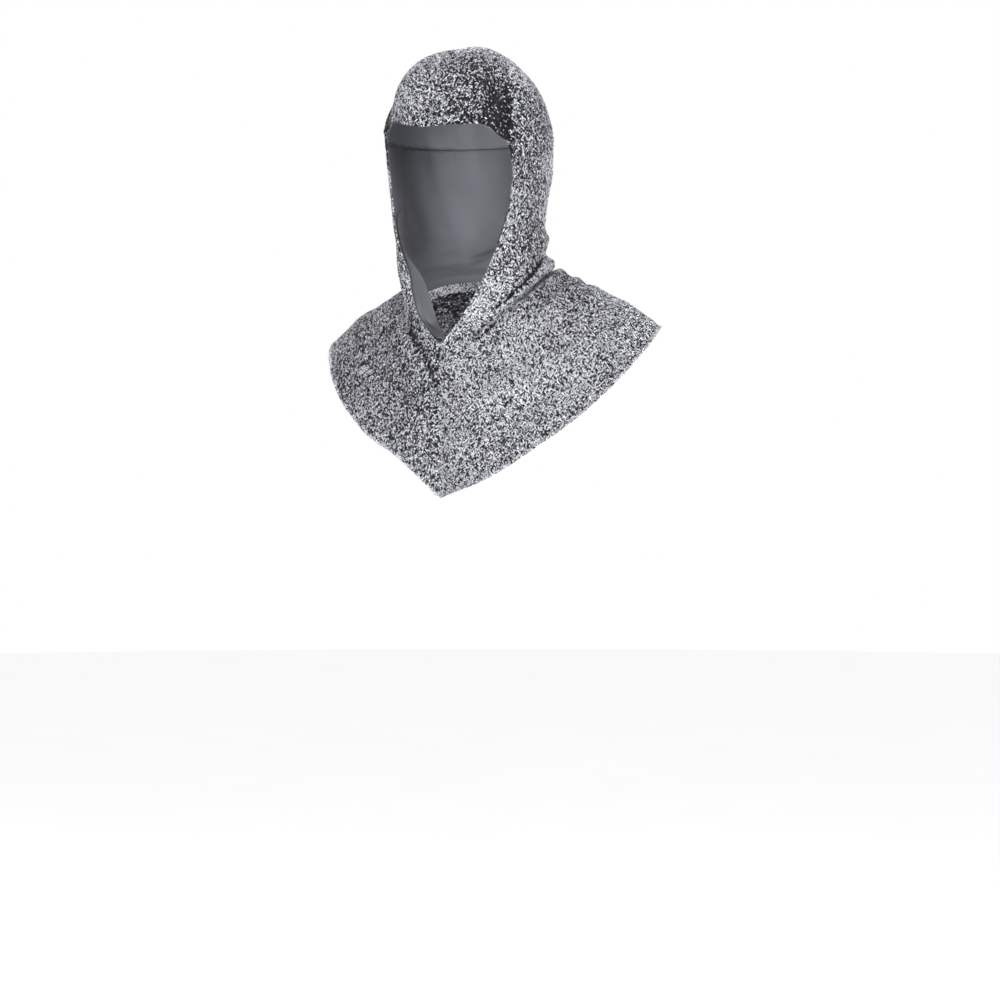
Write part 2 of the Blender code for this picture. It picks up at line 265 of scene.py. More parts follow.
@dataclass(frozen=True)
class HoodForm(Form):
    """The hood. Levels 0 to 1 run down the dome, and 1 to 2 down the sides to the neck seam."""

    dome_half_width: float = 0.107
    dome_front_reach: float = 0.1256
    dome_back_reach: float = 0.123
    brow_flatten: float = 0.022
    crown_setback: float = 0.006
    brow_drop: float = 0.1200
    corner_rounding: float = 0.6
    corner_lift: float = 0.022
    lift_back: float = 70.0
    lift_down: float = 0.6
    corner_flare: float = 0.013
    flare_spread: float = 8.0
    flare_sharpness: float = 3.0
    fold_depth: float = 0.008
    fold_approach: float = 26.0
    fold_rise: float = 10.0
    fold_top: float = 24.0
    fold_lean: float = 0.14
    fold_full: float = 78.0
    fold_tail: float = 0.16
    side_drop_power: float = 1.9
    rows: tuple[HoodRow, ...] = (
        HoodRow(0.138, 64.5, 64.5, 64.5, 0.131, 0.1070, 0.1256, 0.1230),
        HoodRow(0.175, 63.7, 63.7, 63.7, 0.158, 0.1060, 0.1106, 0.1210),
        HoodRow(0.212, 62.7, 62.7, 61.5, 0.184, 0.1035, 0.1060, 0.1175),
        HoodRow(0.250, 57.7, 58.3, 50.0, 0.210, 0.1000, 0.1010, 0.1125),
        HoodRow(0.290, 46.0, 49.3, 31.8, 0.235, 0.0970, 0.0935, 0.1120),
        HoodRow(0.330, 33.5, 38.6, 27.8, 0.257, 0.0945, 0.0905, 0.1150),
        HoodRow(0.367, 19.5, 24.2, 21.0, 0.278, 0.0920, 0.0850, 0.1140),
        HoodRow(0.404, 3.00, 3.00, 3.00, 0.298, 0.0890, 0.0780, 0.1060),
    )
    rolls: tuple[Roll, ...] = (Roll(0.70, 0.085, 0.0080), Roll(0.90, 0.050, 0.0070))
    sweep: RollSweep = RollSweep()
    neck_slack: float = 0.012  # how far the slack cloth pushes the neck seam out on the left
    slack_top: float = 0.76
    slack_full: float = 0.93
    seam_sink: float = 0.0016  # how far the cloth is drawn in at the neck seam and the centre seam
    seam_width: float = 0.004
    # painted shade along the neck seam, between the hood and the mantle
    seam_shade: float = -0.40
    seam_shade_width: float = 0.0022
    edge_roll: float = 0.0011  # how far the turned edge of the face opening stands out
    edge_width: float = 0.006
    dome_length: float = 0.170
    side_length: float = 0.225
    fold_shade: float = -0.79  # painted shade on the cloth that sinks into the temple fold
    fold_shade_top: float = 0.36
    fold_shade_approach: float = 36.0
    fold_shade_rise: float = 3.5
    edge_shine: float = 0.16  # and painted highlight along the turned edge, more on the left; painted shade along the brow
    right_edge_shine: float = 0.06
    brow_edge_shine: float = -0.22
    edge_shine_width: float = 0.0035

    @property
    def corner(self) -> float:
        """The angle of the face opening's corner."""
        return self.rows[0].edge_angle

    @lru_cache(maxsize=512)
    def row_at(self, down: float) -> HoodRow:
        """The row at a share of the way down the sides."""
        names = HoodRow.__dataclass_fields__
        return HoodRow(*(column(self.rows, name, down) for name in names))

    def edge_angle(self, level: float, side: Side) -> float:
        """Where the side's cloth begins: at the temple fold on the dome, and below it at the face opening.

        Args:
            level: how far down the hood.
            side: the side.

        Returns:
            The angle round from the front, in degrees.
        """
        if level <= 1:
            return self.corner + 90 * (1 - level) * self.fold_lean
        row = self.row_at(level - 1)
        return row.left_edge_angle if side is Side.LEFT else row.right_edge_angle

    def pushed_out(self, down: float, side: Side, angle: float) -> Pair:
        """How far the slack cloth pushes the foot of the hood out.

        Args:
            down: the share of the way down the sides.
            side: the side.
            angle: degrees from the front.

        Returns:
            How far across and how far back.
        """
        if side is Side.RIGHT:
            return 0.0, 0.0
        out = self.neck_slack * smooth((down - self.slack_top) / (self.slack_full - self.slack_top))
        out *= self.sweep.share(side, angle)
        return oval(angle, out, out, out)

    def side_point(self, down: float, angle: float) -> Triple:
        """A point below the forehead level.

        Args:
            down: the share of the way down the sides.
            angle: degrees from the front.

        Returns:
            Its x, y and drop.
        """
        row = self.row_at(down)
        x, y = oval(angle, row.half_width, row.front_reach, row.back_reach)
        to_edge = (1 + math.cos(math.radians(angle))) / (1 + math.cos(math.radians(row.edge_angle)))
        return x, y, row.back_drop + (row.edge_drop - row.back_drop) * to_edge**self.side_drop_power

    def dome_drop(self, angle: float) -> float:
        """How far below the crown the dome ends.

        Args:
            angle: degrees from the front.

        Returns:
            The drop.
        """
        if angle < self.corner:
            to_corner = smooth((angle / self.corner - self.corner_rounding) / (1 - self.corner_rounding))
            return self.brow_drop + (self.rows[0].edge_drop - self.brow_drop) * to_corner
        return self.side_point(0, angle)[2]

    def dome_point(self, latitude: float, angle: float) -> Triple:
        """A point of the dome.

        Args:
            latitude: degrees down from the crown.
            angle: degrees from the front.

        Returns:
            Its x, y and drop.
        """
        lift = math.radians(latitude)
        x, y = oval(angle, self.dome_half_width, self.dome_front_reach, self.dome_back_reach)
        y += self.brow_flatten * max(0.0, 1 - (angle / self.corner) ** 2) ** 2
        back = self.crown_setback * (1 - smooth(latitude / 90))
        return x * math.sin(lift), y * math.sin(lift) + back, self.dome_drop(angle) * (1 - math.cos(lift))

    def corner_share(self, level: float) -> float:
        """How near a level is to the corner's: 1 there, and less above and below it."""
        return level if level <= 1 else 1 - (level - 1) / self.lift_down

    def point(self, level: float, side: Side, angle: float) -> Vector:
        """The place in space of a point of the hood, with the face opening's right corner lifted.

        Args:
            level: how far down the form.
            side: the side.
            angle: degrees from the front.

        Returns:
            The place.
        """
        if level <= 1:
            x, y, drop = self.dome_point(90 * level, angle)
        else:
            x, y, drop = self.side_point(level - 1, angle)
            across, back = self.pushed_out(level - 1, side, angle)
            x, y = x + across, y + back
        lift = 0.0
        if side is Side.RIGHT:
            corner = self.corner
            if angle < corner:
                around = smooth(angle / corner)
            else:
                around = 1 - smooth((angle - corner) / self.lift_back)
            lift = self.corner_lift * around * smooth(self.corner_share(level))
        return Vector((side.value * x, y, CROWN_RISE - drop + lift))

    def fold_sink(self, latitude: float, angle: float) -> float:
        """How far the temple fold pulls the cloth in.

        Args:
            latitude: degrees down from the crown.
            angle: degrees from the front.

        Returns:
            How deep it is there.
        """
        past = angle - self.corner - (90 - latitude) * self.fold_lean
        across = in_fold(past, self.fold_approach, self.fold_rise)
        down = smooth((latitude - self.fold_top) / (self.fold_full - self.fold_top))
        return self.fold_depth * across * down

    def radius_at(self, level: float) -> float:
        """The hood's half width at a level."""
        dome = self.dome_half_width * math.sin(math.radians(90 * level))
        return dome if level <= 1 else self.row_at(level - 1).half_width

    def relief(self, level: float, side: Side, angle: float) -> float:
        """How far the folds, rolls, seams and turned edge bring the cloth out of the plain hood.

        Args:
            level: how far down the form.
            side: the side.
            angle: degrees from the front.

        Returns:
            How far out it stands.
        """
        if level <= 1:
            height = -self.fold_sink(90 * level, angle)
        else:
            down = level - 1
            height = sum(roll.at(down) for roll in self.rolls) * self.sweep.share(side, angle)
            height -= self.fold_sink(90, angle) * (1 - smooth(down / self.fold_tail))
            height -= self.seam_sink * bell((1 - down) * self.side_length, self.seam_width)
        if side is Side.RIGHT:
            near = bell(angle - self.corner, self.flare_spread)
            spread = smooth(1 - self.flare_sharpness * (1 - self.corner_share(level)))
            height += self.corner_flare * near * spread
        radius = self.radius_at(level)
        from_seam = math.radians(180 - angle) * radius
        if level <= 1:
            from_seam = min(from_seam, math.radians(angle) * radius)
        height -= self.seam_sink * bell(from_seam, self.seam_width)
        return height + self.edge_roll * bell(self.from_edge(level, side, angle, radius), self.edge_width)

    def from_edge(self, level: float, side: Side, angle: float, radius: float) -> float:
        """The rough distance from the face opening's edge.

        Args:
            level: how far down the form.
            side: the side.
            angle: degrees from the front.
            radius: the hood's half width there.

        Returns:
            The distance, in metres.
        """
        if level > 1:
            return math.radians(angle - self.edge_angle(level, side)) * radius
        above = (1 - level) * self.dome_length
        past = max(0.0, math.radians(angle - self.corner) * radius)
        return math.hypot(above, past)

    def tone(self, level: float, side: Side, angle: float) -> float:
        """The painted shade in the temple fold and along the neck seam, and the painted highlight, or at the
        brow painted shade, along the turned edge.

        Args:
            level: how far down the form.
            side: the side.
            angle: degrees from the front.

        Returns:
            The painted light, or below 0 painted shade.
        """
        past = angle - self.corner - 90 * max(0.0, 1 - level) * self.fold_lean
        sunk = in_fold(past, self.fold_shade_approach, self.fold_shade_rise)
        if level <= 1:
            sunk *= smooth((level - self.fold_shade_top) / (1 - self.fold_shade_top))
        else:
            sunk *= 1 - smooth((level - 1) / self.fold_tail)
        radius = self.dome_half_width if level <= 1 else self.row_at(level - 1).half_width
        from_edge = self.from_edge(level, side, angle, radius)
        seam = self.seam_shade * bell((2 - level) * self.side_length, self.seam_shade_width)
        shine = self.edge_shine if side is Side.LEFT else self.right_edge_shine
        if level <= 1 and angle < self.corner:
            shine = self.brow_edge_shine
        return self.fold_shade * sunk + shine * bell(from_edge, self.edge_shine_width) + seam

    def flat(self, level: float, angle: float) -> Pair:
        """The place on the flat cloth of the hood.

        Args:
            level: how far down the form.
            angle: degrees from the front.

        Returns:
            Metres across it and down it.
        """
        across = math.radians(angle) * self.radius_at(level)
        if level <= 1:
            return across, level * self.dome_length
        return across, self.dome_length + (level - 1) * self.side_length


@dataclass(frozen=True)
class MantleForm(Form):
    """The mantle. Levels run from the neck seam, 0, to the rim, 1."""

    hood: HoodForm = HoodForm()
    left_half_width: float = 0.255
    right_half_width: float = 0.248
    shoulder_setback: float = 0.050
    chest_reach: float = 0.129
    shoulder_blade_reach: float = 0.112
    rim: tuple[RimPoint, ...] = (
        RimPoint(0, 0.6075, 0.6075),
        RimPoint(15, 0.584, 0.556),
        RimPoint(30, 0.547, 0.522),
        RimPoint(45, 0.507, 0.480),
        RimPoint(60, 0.464, 0.437),
        RimPoint(75, 0.424, 0.402),
        RimPoint(90, 0.394, 0.384),
        RimPoint(105, 0.381, 0.379),
        RimPoint(120, 0.388, 0.386),
        RimPoint(135, 0.412, 0.410),
        RimPoint(150, 0.447, 0.446),
        RimPoint(165, 0.489, 0.489),
        RimPoint(180, 0.522, 0.522),
    )
    bends: tuple[Bend, ...] = (
        Bend(0, 0.50, 0.50),
        Bend(45, 0.54, 0.30),
        Bend(90, 0.55, 0.10),
        Bend(135, 0.60, 0.20),
        Bend(180, 0.70, 0.25),
    )
    rolls: tuple[Roll, ...] = (
        Roll(0.090, 0.050, 0.0110),
        Roll(0.250, 0.055, 0.0070),
        Roll(0.400, 0.060, 0.0030),
    )
    rolls_off_seam: float = 0.05
    seam_sink: float = 0.0016
    seam_width: float = 0.004
    hem_height: float = 0.0014  # how far the folded hem stands out
    hem_depth: float = 0.0045
    stitch_sink: float = 0.0007  # the line of stitching that holds it
    stitch_width: float = 0.0025
    stitch_place: float = 1.5  # how many times the hem's depth it lies in from the rim
    hem_shine: float = 0.35  # painted highlight along the folded hem, and painted shade along its stitching
    stitch_shade: float = -0.16
    neck_radius: float = 0.095
    rim_radius: float = 0.215
    length: float = 0.225

    def point(self, level: float, side: Side, angle: float) -> Vector:
        """The place in space of a point of the mantle, which bends over the shoulder on its way to the rim.

        Args:
            level: how far down the form.
            side: the side.
            angle: degrees from the front.

        Returns:
            The place.
        """
        x, y, drop = self.hood.side_point(1, angle)
        across, back = self.hood.pushed_out(1, side, angle)
        start = Vector((x + across, y + back, CROWN_RISE - drop - SEAM_GAP))
        turn = math.radians(angle)
        reach = self.chest_reach if angle < 90 else self.shoulder_blade_reach
        left = side is Side.LEFT
        half_width = self.left_half_width if left else self.right_half_width
        rim_drop = column(self.rim, "left_drop" if left else "right_drop", angle / 180)
        rim_y = self.shoulder_setback - reach * math.cos(turn)
        rim = Vector((half_width * math.sin(turn), rim_y, CROWN_RISE - rim_drop))
        bend = start.lerp(rim, column(self.bends, "along", angle / 180))
        bend.z = start.z + (rim.z - start.z) * column(self.bends, "drop_share", angle / 180)
        point = start.lerp(bend, level).lerp(bend.lerp(rim, level), level)
        point.x *= side.value
        return point

    def relief(self, level: float, side: Side, angle: float) -> float:
        """How far the rolls, seams and hem bring the cloth out of the plain mantle.

        Args:
            level: how far down the form.
            side: the side.
            angle: degrees from the front.

        Returns:
            How far out it stands.
        """
        rolls = sum(roll.at(level) for roll in self.rolls)
        height = rolls * self.hood.sweep.share(side, angle) * smooth(level / self.rolls_off_seam)
        from_rim = (1 - level) * self.length
        from_centre = math.radians(min(angle, 180 - angle)) * self.radius_at(level)
        height -= self.seam_sink * bell(level * self.length, self.seam_width)
        height -= self.seam_sink * bell(from_centre, self.seam_width)
        height += self.hem_height * self.on_hem(from_rim)
        return height - self.stitch_sink * self.on_stitching(from_rim)

    def tone(self, level: float, side: Side, angle: float) -> float:
        """The painted highlight along the hem and the painted shade along its stitching."""
        from_rim = (1 - level) * self.length
        return self.hem_shine * self.on_hem(from_rim) + self.stitch_shade * self.on_stitching(from_rim)

    def flat(self, level: float, angle: float) -> Pair:
        """The place on the flat cloth of the mantle, in metres across and down it."""
        return math.radians(angle) * self.radius_at(level), level * self.length

    def radius_at(self, level: float) -> float:
        """The rough radius of the mantle at a level."""
        return self.neck_radius + (self.rim_radius - self.neck_radius) * level

    def on_hem(self, from_rim: float) -> float:
        """How far on the folded hem a place is: 1 on it, half at its edge and 0 above it."""
        return 1 - smooth((from_rim - self.hem_depth) / self.hem_depth + 0.5)

    def on_stitching(self, from_rim: float) -> float:
        """How near the middle of the hem's stitching a place is, from 0 to 1."""
        return bell(from_rim - self.stitch_place * self.hem_depth, self.stitch_width)


@dataclass(frozen=True)
class Crease:
    """A soft trough or ridge along a line of the cloth, from one place by way of another to a third.

    A height below 0 is a trough. Its banks stand up a little on either side of it. A trough carries painted
    shade along it and a ridge painted light.
    """

    from_angle: float
    from_level: float
    via_angle: float
    via_level: float
    to_angle: float
    to_level: float
    width: float
    height: float
    tone: float = 0.0  # the painted light, or below 0 painted shade, that it adds along its middle

    def line(self, form: Form, side: Side, steps: int = 16) -> np.ndarray:
        """The crease's line on a form.

        Args:
            form: the form.
            side: the side.
            steps: its straight stretches.

        Returns:
            Points along it in space, a row each.
        """
        angles = [self.from_angle, self.via_angle, self.to_angle]
        levels = [self.from_level, self.via_level, self.to_level]
        shares = [step / steps for step in range(steps + 1)]
        return np.array([form.point(through(levels, at), side, through(angles, at)) for at in shares])

    def marks(self, form: Form, side: Side, points: np.ndarray) -> tuple[np.ndarray, np.ndarray]:
        """How far it lifts each point, and the painted light or shade that it adds there.

        Args:
            form: the form that it lies on.
            side: the side.
            points: the points of the cloth, a row each.

        Returns:
            The lift of each point and its painted light or shade.
        """
        line = self.line(form, side)
        starts, along = line[:-1], line[1:] - line[:-1]
        offset = points[:, None, :] - starts[None]
        share = ((offset * along).sum(2) / (along**2).sum(1)).clip(0, 1)
        distance = np.linalg.norm(offset - share[..., None] * along, axis=2)
        nearest = distance.argmin(1)
        each = np.arange(len(points))
        way = (nearest + share[each, nearest]) / len(starts)
        across = (distance[each, nearest] / self.width) ** 2
        ends = np.sin(math.pi * way.clip(CREASE_END, 1 - CREASE_END)) ** CREASE_TAPER
        middle = ends * np.exp(-across)
        tone = (TONE_OF_LIFT * self.height + self.tone) * middle
        return self.height * middle * (1 - BANK * across), tone


def free(level: float) -> float:
    """How free the cloth is to crease: not at the neck seam, the mantle's level 0 and the hood's 2."""
    return smooth(level / SEWN) * smooth((2 - level) / SEWN)


@dataclass(frozen=True)
class Shade:
    """A soft patch of painted light, or below 0 painted shade, on the cloth."""

    angle: float
    level: float
    across: float
    down: float
    amount: float

    def at(self, form: Form, level: float, angle: float) -> float:
        """Its amount at a place.

        Args:
            form: the form that it lies on.
            level: how far down the form.
            angle: degrees from the front.

        Returns:
            What it adds to the tone there.
        """
        x, y = form.flat(level, angle)
        mid_x, mid_y = form.flat(self.level, self.angle)
        return self.amount * bell(x - mid_x, self.across) * bell(y - mid_y, self.down)


@dataclass(frozen=True)
class Slackness:
    """The small uneven waves of cloth that hangs free."""

    height: float
    size: float
    fine_height: float = 0.00035
    fine_size: float = 0.011

    def at(self, place: Vector) -> float:
        """How far the cloth stands out.

        Args:
            place: the place in space.

        Returns:
            The height of the waves there.
        """
        broad = noise.noise(place / self.size)
        fine = noise.noise(place / self.fine_size)
        return self.height * broad + self.fine_height * fine


@dataclass(frozen=True)
class Patch:
    """A part of a form that one grid covers, and where each share across and down the grid lies on it."""

    columns: int
    rows: int
    at: Callable[[Side, float, float], Pair]


def place_layers(mesh: BMesh) -> tuple[BMLayerItem, BMLayerItem]:
    """The layers of a mesh that hold every point's level and angle."""
    return mesh.verts.layers.float[LEVEL], mesh.verts.layers.float[ANGLE]


def at_foot(edge: BMEdge, level: BMLayerItem) -> bool:
    """Whether an edge lies along the foot of the hood, at the neck seam."""
    return all(vert[level] > ALL_BUT_FOOT for vert in edge.verts)


class Skin:
    """One half of a form as a fine creased surface, which pieces are cut from.

    Its points on the centre plane lie exactly on it, and its faces point outwards.
    """

    def __init__(
        self,
        form: Form,
        side: Side,
        patches: Iterable[Patch],
        creases: Iterable[Crease],
        slack: Slackness,
        shades: Iterable[Shade] = (),
    ) -> None:
        """Lays the patches on the form, sews them together, creases the cloth and paints its light and
        shade.

        Args:
            form: the form that the skin takes.
            side: the side.
            patches: the grids that cover it.
            creases: its creases.
            slack: its small waves.
            shades: its patches of painted light and shade.
        """
        self.form = form
        self.side = side
        self.mesh = bmesh.new()
        self.level = self.mesh.verts.layers.float.new(LEVEL)
        self.angle = self.mesh.verts.layers.float.new(ANGLE)
        for patch in patches:
            self.lay(patch)
        bmesh.ops.remove_doubles(self.mesh, verts=self.mesh.verts[:], dist=MERGE)
        self.turn_outwards()
        points = np.array([vert.co for vert in self.mesh.verts])
        folds, fold_tones = self.folds(creases, points)
        folds = folds * np.array([free(vert[self.level]) for vert in self.mesh.verts])
        lift = folds + np.array([self.plain_relief(vert, slack) for vert in self.mesh.verts])
        tones = [form.tone(vert[self.level], side, vert[self.angle]) for vert in self.mesh.verts]
        self.shade(self.mesh, tones + fold_tones, shades)
        self.displace(lift)

    def lay(self, patch: Patch) -> None:
        """Lays one patch's grid on the form.

        Args:
            patch: the patch.
        """
        grid = bmesh.ops.create_grid(self.mesh, x_segments=patch.columns, y_segments=patch.rows, size=0.5)
        for vert in grid["verts"]:
            level, angle = patch.at(self.side, vert.co.x + 0.5, vert.co.y + 0.5)
            vert[self.level] = level
            vert[self.angle] = angle
            vert.co = self.form.point(level, self.side, angle)

    def turn_outwards(self) -> None:
        """Turns all the faces to point away from the wearer."""
        self.mesh.normal_update()
        outwards = 0.0
        for face in self.mesh.faces:
            middle = face.calc_center_median()
            outwards += face.normal.dot(Vector((middle.x, middle.y, OUT_AND_UP))) * face.calc_area()
        if outwards < 0:
            bmesh.ops.reverse_faces(self.mesh, faces=self.mesh.faces[:])
            self.mesh.normal_update()

    def folds(self, creases: Iterable[Crease], points: np.ndarray) -> tuple[np.ndarray, np.ndarray]:
        """How all the creases together change the cloth.

        Args:
            creases: the creases.
            points: the points of the cloth, a row each.

        Returns:
            How far they lift each point, and the painted light or shade that they add to it.
        """
        lift, tone = np.zeros(len(points)), np.zeros(len(points))
        for crease in creases:
            raised, toned_by = crease.marks(self.form, self.side, points)
            lift += raised
            tone += toned_by
        return lift, tone

    def shade(self, mesh: BMesh, plain: Iterable[float], shades: Iterable[Shade]) -> None:
        """Sets every point's painted light and shade.

        Args:
            mesh: the mesh that gets the tones.
            plain: each point's painted light or shade before the shades.
            shades: what is added to it.
        """
        tone = mesh.verts.layers.float.get(TONE) or mesh.verts.layers.float.new(TONE)
        level, angle = place_layers(mesh)
        for vert, start in zip(mesh.verts, plain, strict=True):
            added = sum(patch.at(self.form, vert[level], vert[angle]) for patch in shades)
            vert[tone] = float(start + added)

    def plain_relief(self, vert: BMVert, slack: Slackness) -> float:
        """The form's own relief and the slack's at a point."""
        return self.form.relief(vert[self.level], self.side, vert[self.angle]) + slack.at(vert.co)

    def displace(self, lift: Iterable[float], mesh: BMesh | None = None) -> None:
        """Moves every point out by its lift. Points on the centre plane stay on it.

        Args:
            lift: how far each point moves, one for each.
            mesh: the mesh to move, or None for the skin's own.
        """
        mesh = mesh or self.mesh
        mesh.normal_update()
        for vert, height in zip(mesh.verts, lift, strict=True):
            normal = vert.normal
            if abs(vert.co.x) < MERGE:
                normal = Vector((0.0, normal.y, normal.z)).normalized()
            vert.co = vert.co + normal * float(height)
        mesh.normal_update()

    def layer(
        self,
        keep: Callable[[Side, float, float], bool] | None = None,
        depth: float = 0.0,
        creases: Iterable[Crease] = (),
        slack: Slackness | None = None,
        shades: Iterable[Shade] | None = None,
    ) -> BMesh:
        """A part of the skin, at a depth under it.

        Args:
            keep: says for a side, a level and an angle whether the part has the face there, or None for all.
            depth: how far under the skin it lies.
            creases: its own creases.
            slack: its own small waves, which only go in.
            shades: its own patches of painted light and shade, or None to keep the skin's.

        Returns:
            The open surface.
        """
        mesh = self.mesh.copy()
        folds, fold_tones = self.folds(creases, np.array([vert.co for vert in mesh.verts]))
        lift = folds - depth
        if slack:
            lift -= np.array([abs(slack.at(vert.co)) for vert in mesh.verts])
        if shades is not None:
            self.shade(mesh, fold_tones, shades)
        self.displace(lift, mesh)
        level, angle = place_layers(mesh)
        if keep:
            gone = []
            for face in mesh.faces:
                count = len(face.verts)
                middle = [sum(vert[layer] for vert in face.verts) / count for layer in (level, angle)]
                if not keep(self.side, *middle):
                    gone.append(face)
            bmesh.ops.delete(mesh, geom=gone, context="FACES")
        unroll(mesh, self.form)
        return mesh


def unroll(mesh: BMesh, form: Form) -> None:
    """Gives a surface its map: every point's place on the flat cloth.

    Args:
        mesh: the surface.
        form: the form that it is cut from.
    """
    cloth = mesh.loops.layers.uv.get(UV_NAME) or mesh.loops.layers.uv.new(UV_NAME)
    level, angle = place_layers(mesh)
    for face in mesh.faces:
        for loop in face.loops:
            loop[cloth].uv = form.flat(loop.vert[level], loop.vert[angle])


def with_rim(surface: BMesh, wall: float) -> BMesh:
    """Adds the wall's rim along the face opening to the hood's outer surface.

    Args:
        surface: the outer surface.
        wall: the wall's thickness.

    Returns:
        The same surface.
    """
    level, _ = place_layers(surface)
    normals = {vert.co.to_tuple(DIGITS): vert.normal.copy() for vert in surface.verts}
    edges = []
    for edge in surface.edges:
        at_centre = all(abs(vert.co.x) < MERGE for vert in edge.verts)
        if edge.is_boundary and not at_centre and not at_foot(edge, level):
            edges.append(edge)
    grown = bmesh.ops.extrude_edge_only(surface, edges=edges)["geom"]
    for vert in (item for item in grown if isinstance(item, BMVert)):
        vert.co -= normals[vert.co.to_tuple(DIGITS)] * wall
    surface.normal_update()
    return surface


def joined(surfaces: Iterable[BMesh]) -> BMesh:
    """Sews surfaces into one where their points meet.

    Args:
        surfaces: the surfaces, which are freed.

    Returns:
        The whole surface.
    """
    whole = bmesh.new()
    for surface in surfaces:
        part = bpy.data.meshes.new("part")
        surface.to_mesh(part)
        surface.free()
        whole.from_mesh(part)
        bpy.data.meshes.remove(part)
    bmesh.ops.remove_doubles(whole, verts=whole.verts[:], dist=MERGE)
    whole.normal_update()
    return whole


def linked(name: str, mesh: BMesh) -> Object:
    """Puts a new object in the scene.

    Args:
        name: its name.
        mesh: its mesh, which is freed.

    Returns:
        The object.
    """
    data = bpy.data.meshes.new(name)
    mesh.to_mesh(data)
    mesh.free()
    piece = bpy.data.objects.new(name, data)
    bpy.context.collection.objects.link(piece)
    return piece


def applied(piece: Object) -> None:
    """Makes what a piece's modifiers show its own mesh.

    Args:
        piece: the piece.
    """
    plain = piece.data
    shown = piece.evaluated_get(bpy.context.evaluated_depsgraph_get())
    piece.data = bpy.data.meshes.new_from_object(shown)
    piece.modifiers.clear()
    bpy.data.meshes.remove(plain)
    piece.data.name = piece.name


def walled(
    name: str,
    surface: BMesh,
    wall: float,
    seam_side: Side | None = None,
    level_at: float | None = None,
) -> Object:
    """Gives an open surface its wall, on the inner side.

    Args:
        name: the piece's name.
        surface: the outer surface, which is freed.
        wall: the wall's thickness.
        seam_side: the side that a piece with a centre seam lies on.
        level_at: the level where the wall's edge is cut level, at the neck seam.

    Returns:
        The piece.
    """
    piece = linked(name, surface)
    solidify = piece.modifiers.new("Wall", "SOLIDIFY")
    solidify.thickness = wall
    solidify.offset = -1
    solidify.use_rim = True
    outside = len(piece.data.vertices)
    applied(piece)
    data = piece.data
    levels = data.attributes[LEVEL].data
    for index in range(outside):
        outer, inner = data.vertices[index], data.vertices[index + outside]
        if level_at is not None and levels[index].value > level_at:
            inner.co.z = outer.co.z
        if seam_side and abs(outer.co.x) < MERGE:
            outer.co.x = inner.co.x = seam_side.value * SEAM_GAP / 2
    for name_of in (LEVEL, ANGLE):
        data.attributes.remove(data.attributes[name_of])
    data.shade_smooth()
    return piece


def dress(piece: Object, finish: Material, nodes: Iterable[str] = ()) -> None:
    """Gives a piece its finish, its body and the nodes that it stands for.

    Args:
        piece: the piece.
        finish: its material.
        nodes: the nodes that it replaces.
    """
    piece.data.materials.clear()
    piece.data.materials.append(finish)
    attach(piece, BODY)
    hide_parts(*nodes)
    log.info("%s: %d faces", piece.name, len(piece.data.polygons))


def put(tree: NodeTree, kind: str, inputs: dict | None = None, **settings: object) -> Node:
    """Adds a node to a tree.

    Args:
        tree: the tree.
        kind: the node's type.
        inputs: what each input takes, by its name or number: a value, or an output to link.
        **settings: the node's own settings.

    Returns:
        The node.
    """
    node = tree.nodes.new(kind)
    for name, value in settings.items():
        setattr(node, name, value)
    for key, value in (inputs or {}).items():
        if isinstance(value, NodeSocket):
            tree.links.new(value, node.inputs[key])
        else:
            node.inputs[key].default_value = value
    return node


def math_node(tree: NodeTree, operation: str, *values: object) -> NodeSocket:
    """Adds a Math node to a tree and returns its result."""
    return put(tree, "ShaderNodeMath", dict(enumerate(values)), operation=operation).outputs[0]


def vector_node(tree: NodeTree, operation: str, inputs: dict) -> NodeSocket:
    """Adds a Vector Math node to a tree and returns its result."""
    return put(tree, "ShaderNodeVectorMath", inputs, operation=operation).outputs[0]


def new_group(name: str, inputs: dict[str, object], outputs: Iterable[str]) -> tuple:
    """Starts a shader node group.

    Args:
        name: the group's name.
        inputs: its inputs, with each one's value, or "vector" for a vector.
        outputs: its outputs, which are all plain numbers.

    Returns:
        The group, its input node and its output node.
    """
    tree = bpy.data.node_groups.new(name, "ShaderNodeTree")
    for label, value in inputs.items():
        kind = "NodeSocketVector" if value == "vector" else "NodeSocketFloat"
        socket = tree.interface.new_socket(label, in_out="INPUT", socket_type=kind)
        if value != "vector":
            socket.default_value = value
    for label in outputs:
        tree.interface.new_socket(label, in_out="OUTPUT", socket_type="NodeSocketFloat")
    return tree, put(tree, "NodeGroupInput"), put(tree, "NodeGroupOutput")


